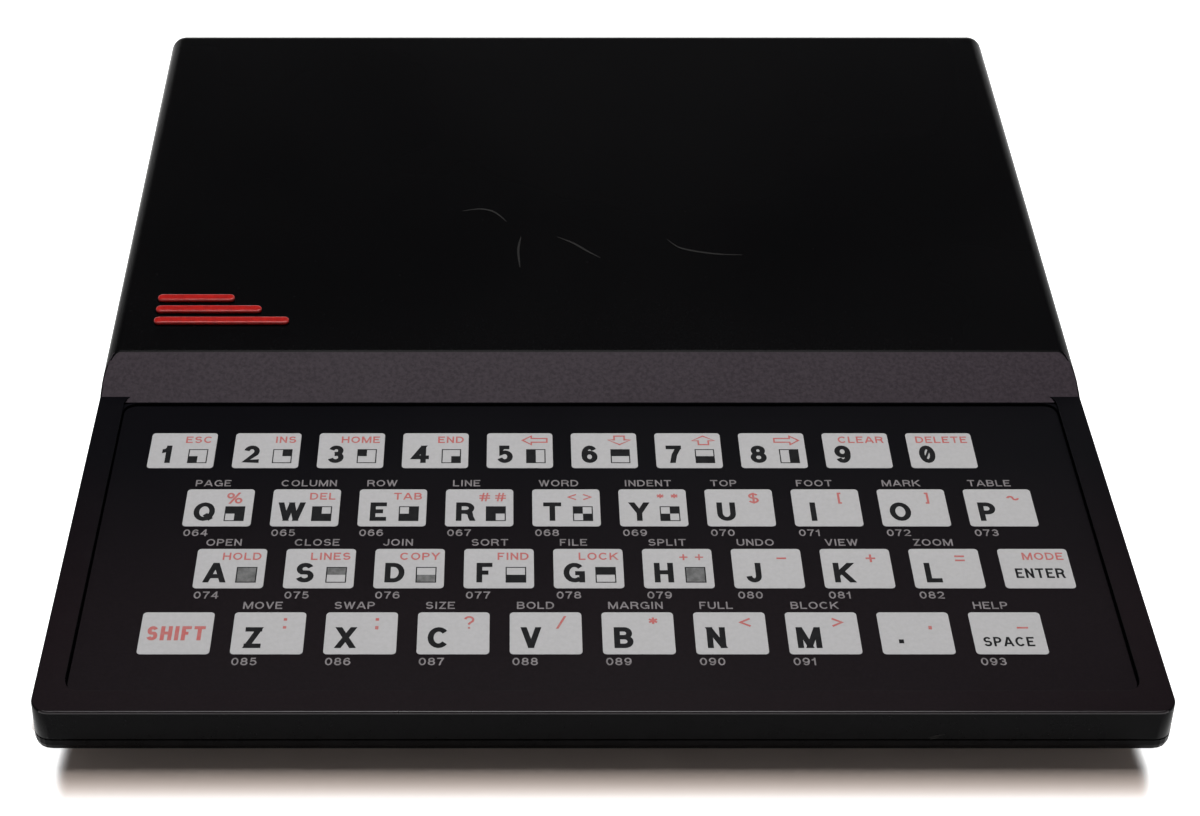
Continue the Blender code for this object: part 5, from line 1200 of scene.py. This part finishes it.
# Wear: four faint curved scratches on the deck and two short ones on the front wall.
# Points are across and up each surface.
deckScratchLines = (
    ((-0.0224, 0.0386), (-0.0190, 0.0392), (-0.0164, 0.0382), (-0.0142, 0.0354)),
    ((-0.0116, 0.0310), (-0.0121, 0.0272), (-0.0118, 0.0222)),
    ((-0.0050, 0.0310), (-0.0021, 0.0292), (0.0003, 0.0270), (0.0027, 0.0250)),
    ((0.0150, 0.0303), (0.0169, 0.0281), (0.0195, 0.0270), (0.0238, 0.0261), (0.0284, 0.0258)),
)
frontScratchLines = (
    ((0.0474, 0.0005), (0.0486, 0.0009), (0.0499, 0.0012)),
    ((0.0477, 0.0003), (0.0490, 0.0006)),
)
scratchLook = {"deckWidth": 0.00042, "frontWidth": 0.00022, "level": 0.00003, "steps": 8, "tip": 0.15}
frontFrame = at(0, front, caseForm["seam"]) @ Matrix.Rotation(pi / 2 - caseForm["draft"], 4, "X")


def curveAt(a, b, c, d, t):  # from b to c, with a before and d after
    return 0.5 * (2 * b + (c - a) * t + (2 * a - 5 * b + 4 * c - d) * t * t + (3 * b - a - 3 * c + d) * t ** 3)


def scratchPath(points):  # a smooth curve through the points
    path = []
    for number in range(len(points) - 1):
        before = points[max(number - 1, 0)]
        after = points[min(number + 2, len(points) - 1)]
        for step in range(scratchLook["steps"]):
            t = step / scratchLook["steps"]
            corners = zip(before, points[number], points[number + 1], after)
            path.append(tuple(curveAt(*four, t) for four in corners))
    return [*path, points[-1]]


def scratchRibbon(form, points, width):
    path = scratchPath(points)
    level, tip = scratchLook["level"], scratchLook["tip"]
    sides = []
    for number, (x, u) in enumerate(path):
        ahead = path[min(number + 1, len(path) - 1)]
        behind = path[max(number - 1, 0)]
        length = hypot(ahead[0] - behind[0], ahead[1] - behind[1])
        half = width / 2 * (tip + (1 - tip) * sin(pi * (number + 0.5) / len(path))) / length
        a, b = (behind[1] - ahead[1]) * half, (ahead[0] - behind[0]) * half
        sides.append([form.verts.new((x - a, u - b, level)), form.verts.new((x + a, u + b, level))])
    for one, other in zip(sides, sides[1:]):
        form.faces.new((one[0], other[0], other[1], one[1]))


def makeScratches():
    form = bmesh.new()
    groups = ((deckScratchLines, "deckWidth", deckFrame), (frontScratchLines, "frontWidth", frontFrame))
    for lines, width, place in groups:
        marks = bmesh.new()
        for points in lines:
            scratchRibbon(marks, points, scratchLook[width])
        addForm(form, marks, place)
    addPiece("caseScratches", meshFrom("caseScratches", form), scratchMark)


makeScratches()
print("scratches made")

# Gilded contacts on both faces of the board's tongue, and the sleeves inside the three jacks
contactRow = {
    "pitch": 0.00254, "width": 0.0015, "length": 0.0070, "count": 23, "lift": 0.00003, "setback": 0.0004,
    "boardLow": 0.0110, "boardTop": 0.0126, "keyway": 0.0140, "keywayHalf": 0.0014,
}


def makeContacts():
    form = bmesh.new()
    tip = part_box("circuit_board")[1][1] - contactRow["setback"]
    half, lift = contactRow["width"] / 2, contactRow["lift"]
    start = wallOpenings["slotCentre"] - (contactRow["count"] - 1) / 2 * contactRow["pitch"]
    for number in range(contactRow["count"]):
        x = start + number * contactRow["pitch"]
        if abs(x - contactRow["keyway"]) < contactRow["keywayHalf"]:
            continue
        for level in (contactRow["boardTop"], contactRow["boardLow"] - lift):
            pad = boxForm((x - half, tip - contactRow["length"], level), (x + half, tip, level + lift))
            addForm(form, pad)
    addPiece("edgeContacts", meshFrom("edgeContacts", form), contactGold)


jackSleeve = (  # radius and depth round a sleeve's section
    (0.00178, -0.00021), (0.00178, 0.0070), (0.00160, 0.0070), (0.00160, -0.00030),
    (0.00175, -0.00042), (0.00225, -0.00042), (0.00235, -0.00032), (0.00235, -0.00021),
)
sleeveSeat = {"inset": 0.0002, "steps": 28}


def makeJackSleeves():
    form = bmesh.new()
    axis = wallOpenings["seat"] + wallOpenings["jackAxis"]
    steps = sleeveSeat["steps"]
    turns = [2 * pi * n / steps for n in range(steps)]
    for name in wallOpenings["jacks"]:
        place = at(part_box(name)[0][0] + sleeveSeat["inset"], middleOf(name).y, axis) @ alongX
        rings = []
        for radius, depth in jackSleeve:
            points = [Vector((radius * cos(turn), radius * sin(turn), depth)) for turn in turns]
            rings.append([form.verts.new(place @ point) for point in points])
        joinRings(form, rings, closed=True)
    faceOut(form)
    addPiece("jackSleeves", meshFrom("jackSleeves", form), tinplate, 40)


makeContacts()
makeJackSleeves()
print("contacts made")

# Pale studio: a floor that curves up into a low wall all round, one large lamp over the object
studio = {
    "floorShadowTint": (0.82, 0.69, 0.62), "floorFar": (0.88, 0.88, 0.88), "glow": 1.0, "worldLevel": 0.02,
    "floorRadius": 1.25, "centreRadius": 0.35, "wallHeight": 0.75, "bend": 0.45, "bendAngle": 80,
    "bendSteps": 12, "lean": 0.05, "ringSteps": 96,
}
shade = {  # painted shadow: the floor's warm tint, and the lack of glow, run out from the object's outline, drawn in at the front corners
    "cornerRun": (-0.0830, -0.0790), "cornerHalf": (0.0778, 0.0835), "depthHalf": 0.0875,
    "sideFactor": 3.0, "start": 0.0016, "end": 0.0084, "ease": 2.5,
}
lamps = (
    {"name": "topSoftbox", "place": (0.0, 0.17, 0.95), "aim": (0, 0.08, 0), "size": (0.60, 0.52),
     "power": 8.4},
    {"name": "rearFill", "place": (0.0, 1.05, 0.22), "aim": (0, 0.08, 0.02), "size": (0.9, 0.25),
     "power": 1.2},
)


def floorProfile():  # radius and level, from the middle outwards
    flat, bend = studio["floorRadius"] - studio["bend"], studio["bend"]
    profile = [(studio["centreRadius"], 0.0), (flat, 0.0)]
    for step in range(1, studio["bendSteps"] + 1):
        angle = step / studio["bendSteps"] * radians(studio["bendAngle"])
        profile.append((flat + bend * sin(angle), bend * (1 - cos(angle))))
    return [*profile, (profile[-1][0] + studio["lean"], studio["wallHeight"])]


def beyond(tree, value, limit):  # how far a coordinate is outside a half size
    outside = mathNode(tree, "SUBTRACT", mathNode(tree, "ABSOLUTE", value), limit)
    return mathNode(tree, "MAXIMUM", outside, 0.0)


def floorShadowMask(tree, vector):  # painted shadow mask: nothing beside the object, full further out
    place = splitVector(tree, vector)
    half = rangeNode(tree, place["Y"], *shade["cornerRun"], *shade["cornerHalf"])
    aside = mathNode(tree, "MULTIPLY", beyond(tree, place["X"], half), shade["sideFactor"])
    ahead = beyond(tree, place["Y"], shade["depthHalf"])
    squares = [mathNode(tree, "MULTIPLY", one, one) for one in (aside, ahead)]
    away = mathNode(tree, "SQRT", mathNode(tree, "ADD", *squares))
    return mathNode(tree, "POWER", rangeNode(tree, away, shade["start"], shade["end"]), shade["ease"])


def floorMaterial():
    made, tree, shader, vector = startMaterial("studioWhite", specular=0.1, roughness=0.9)
    far = floorShadowMask(tree, vector)
    link(tree, mixColour(tree, far, studio["floorShadowTint"], studio["floorFar"]), shader.inputs["Base Color"])
    path = tree.nodes.new("ShaderNodeLightPath")
    seen = mathNode(tree, "MAXIMUM", path.outputs["Is Camera Ray"], path.outputs["Is Glossy Ray"])
    seen = mathNode(tree, "MAXIMUM", seen, path.outputs["Is Transmission Ray"])
    # the glow whitens the floor away from the object: near the outline its absence paints the shadow's shape,
    # and beside the object it paints over the real shadow
    glow = mathNode(tree, "MULTIPLY", mathNode(tree, "MULTIPLY", far, seen), studio["glow"])
    shader.inputs["Emission Color"].default_value = (1, 1, 1, 1)
    link(tree, glow, shader.inputs["Emission Strength"])
    return made


def makeFloor():
    form = bmesh.new()
    turns = [2 * pi * n / studio["ringSteps"] for n in range(studio["ringSteps"])]
    rings = []
    for radius, level in floorProfile():
        rings.append([form.verts.new((radius * cos(turn), radius * sin(turn), level)) for turn in turns])
    form.faces.new(rings[0])
    joinRings(form, rings[::-1])
    data = meshFrom("studioFloor", form)
    for face in data.polygons:
        face.use_smooth = True
    data.materials.append(floorMaterial())
    floor = bpy.data.objects.new("studioFloor", data)
    bpy.context.scene.collection.objects.link(floor)


def makeLights():
    world = bpy.data.worlds.new("studioWorld")
    world.use_nodes = True
    level = studio["worldLevel"]
    world.node_tree.nodes["Background"].inputs["Color"].default_value = (level, level, level, 1)
    bpy.context.scene.world = world
    for lamp in lamps:
        data = bpy.data.lights.new(lamp["name"], "AREA")
        data.shape = "RECTANGLE"
        data.size, data.size_y = lamp["size"]
        data.energy = lamp["power"]
        made = bpy.data.objects.new(lamp["name"], data)
        made.location = lamp["place"]
        aim = Vector(lamp["aim"]) - Vector(lamp["place"])
        made.rotation_euler = aim.to_track_quat("-Z", "Y").to_euler()
        bpy.context.scene.collection.objects.link(made)


makeFloor()
makeLights()
print("studio lit")

print("done")
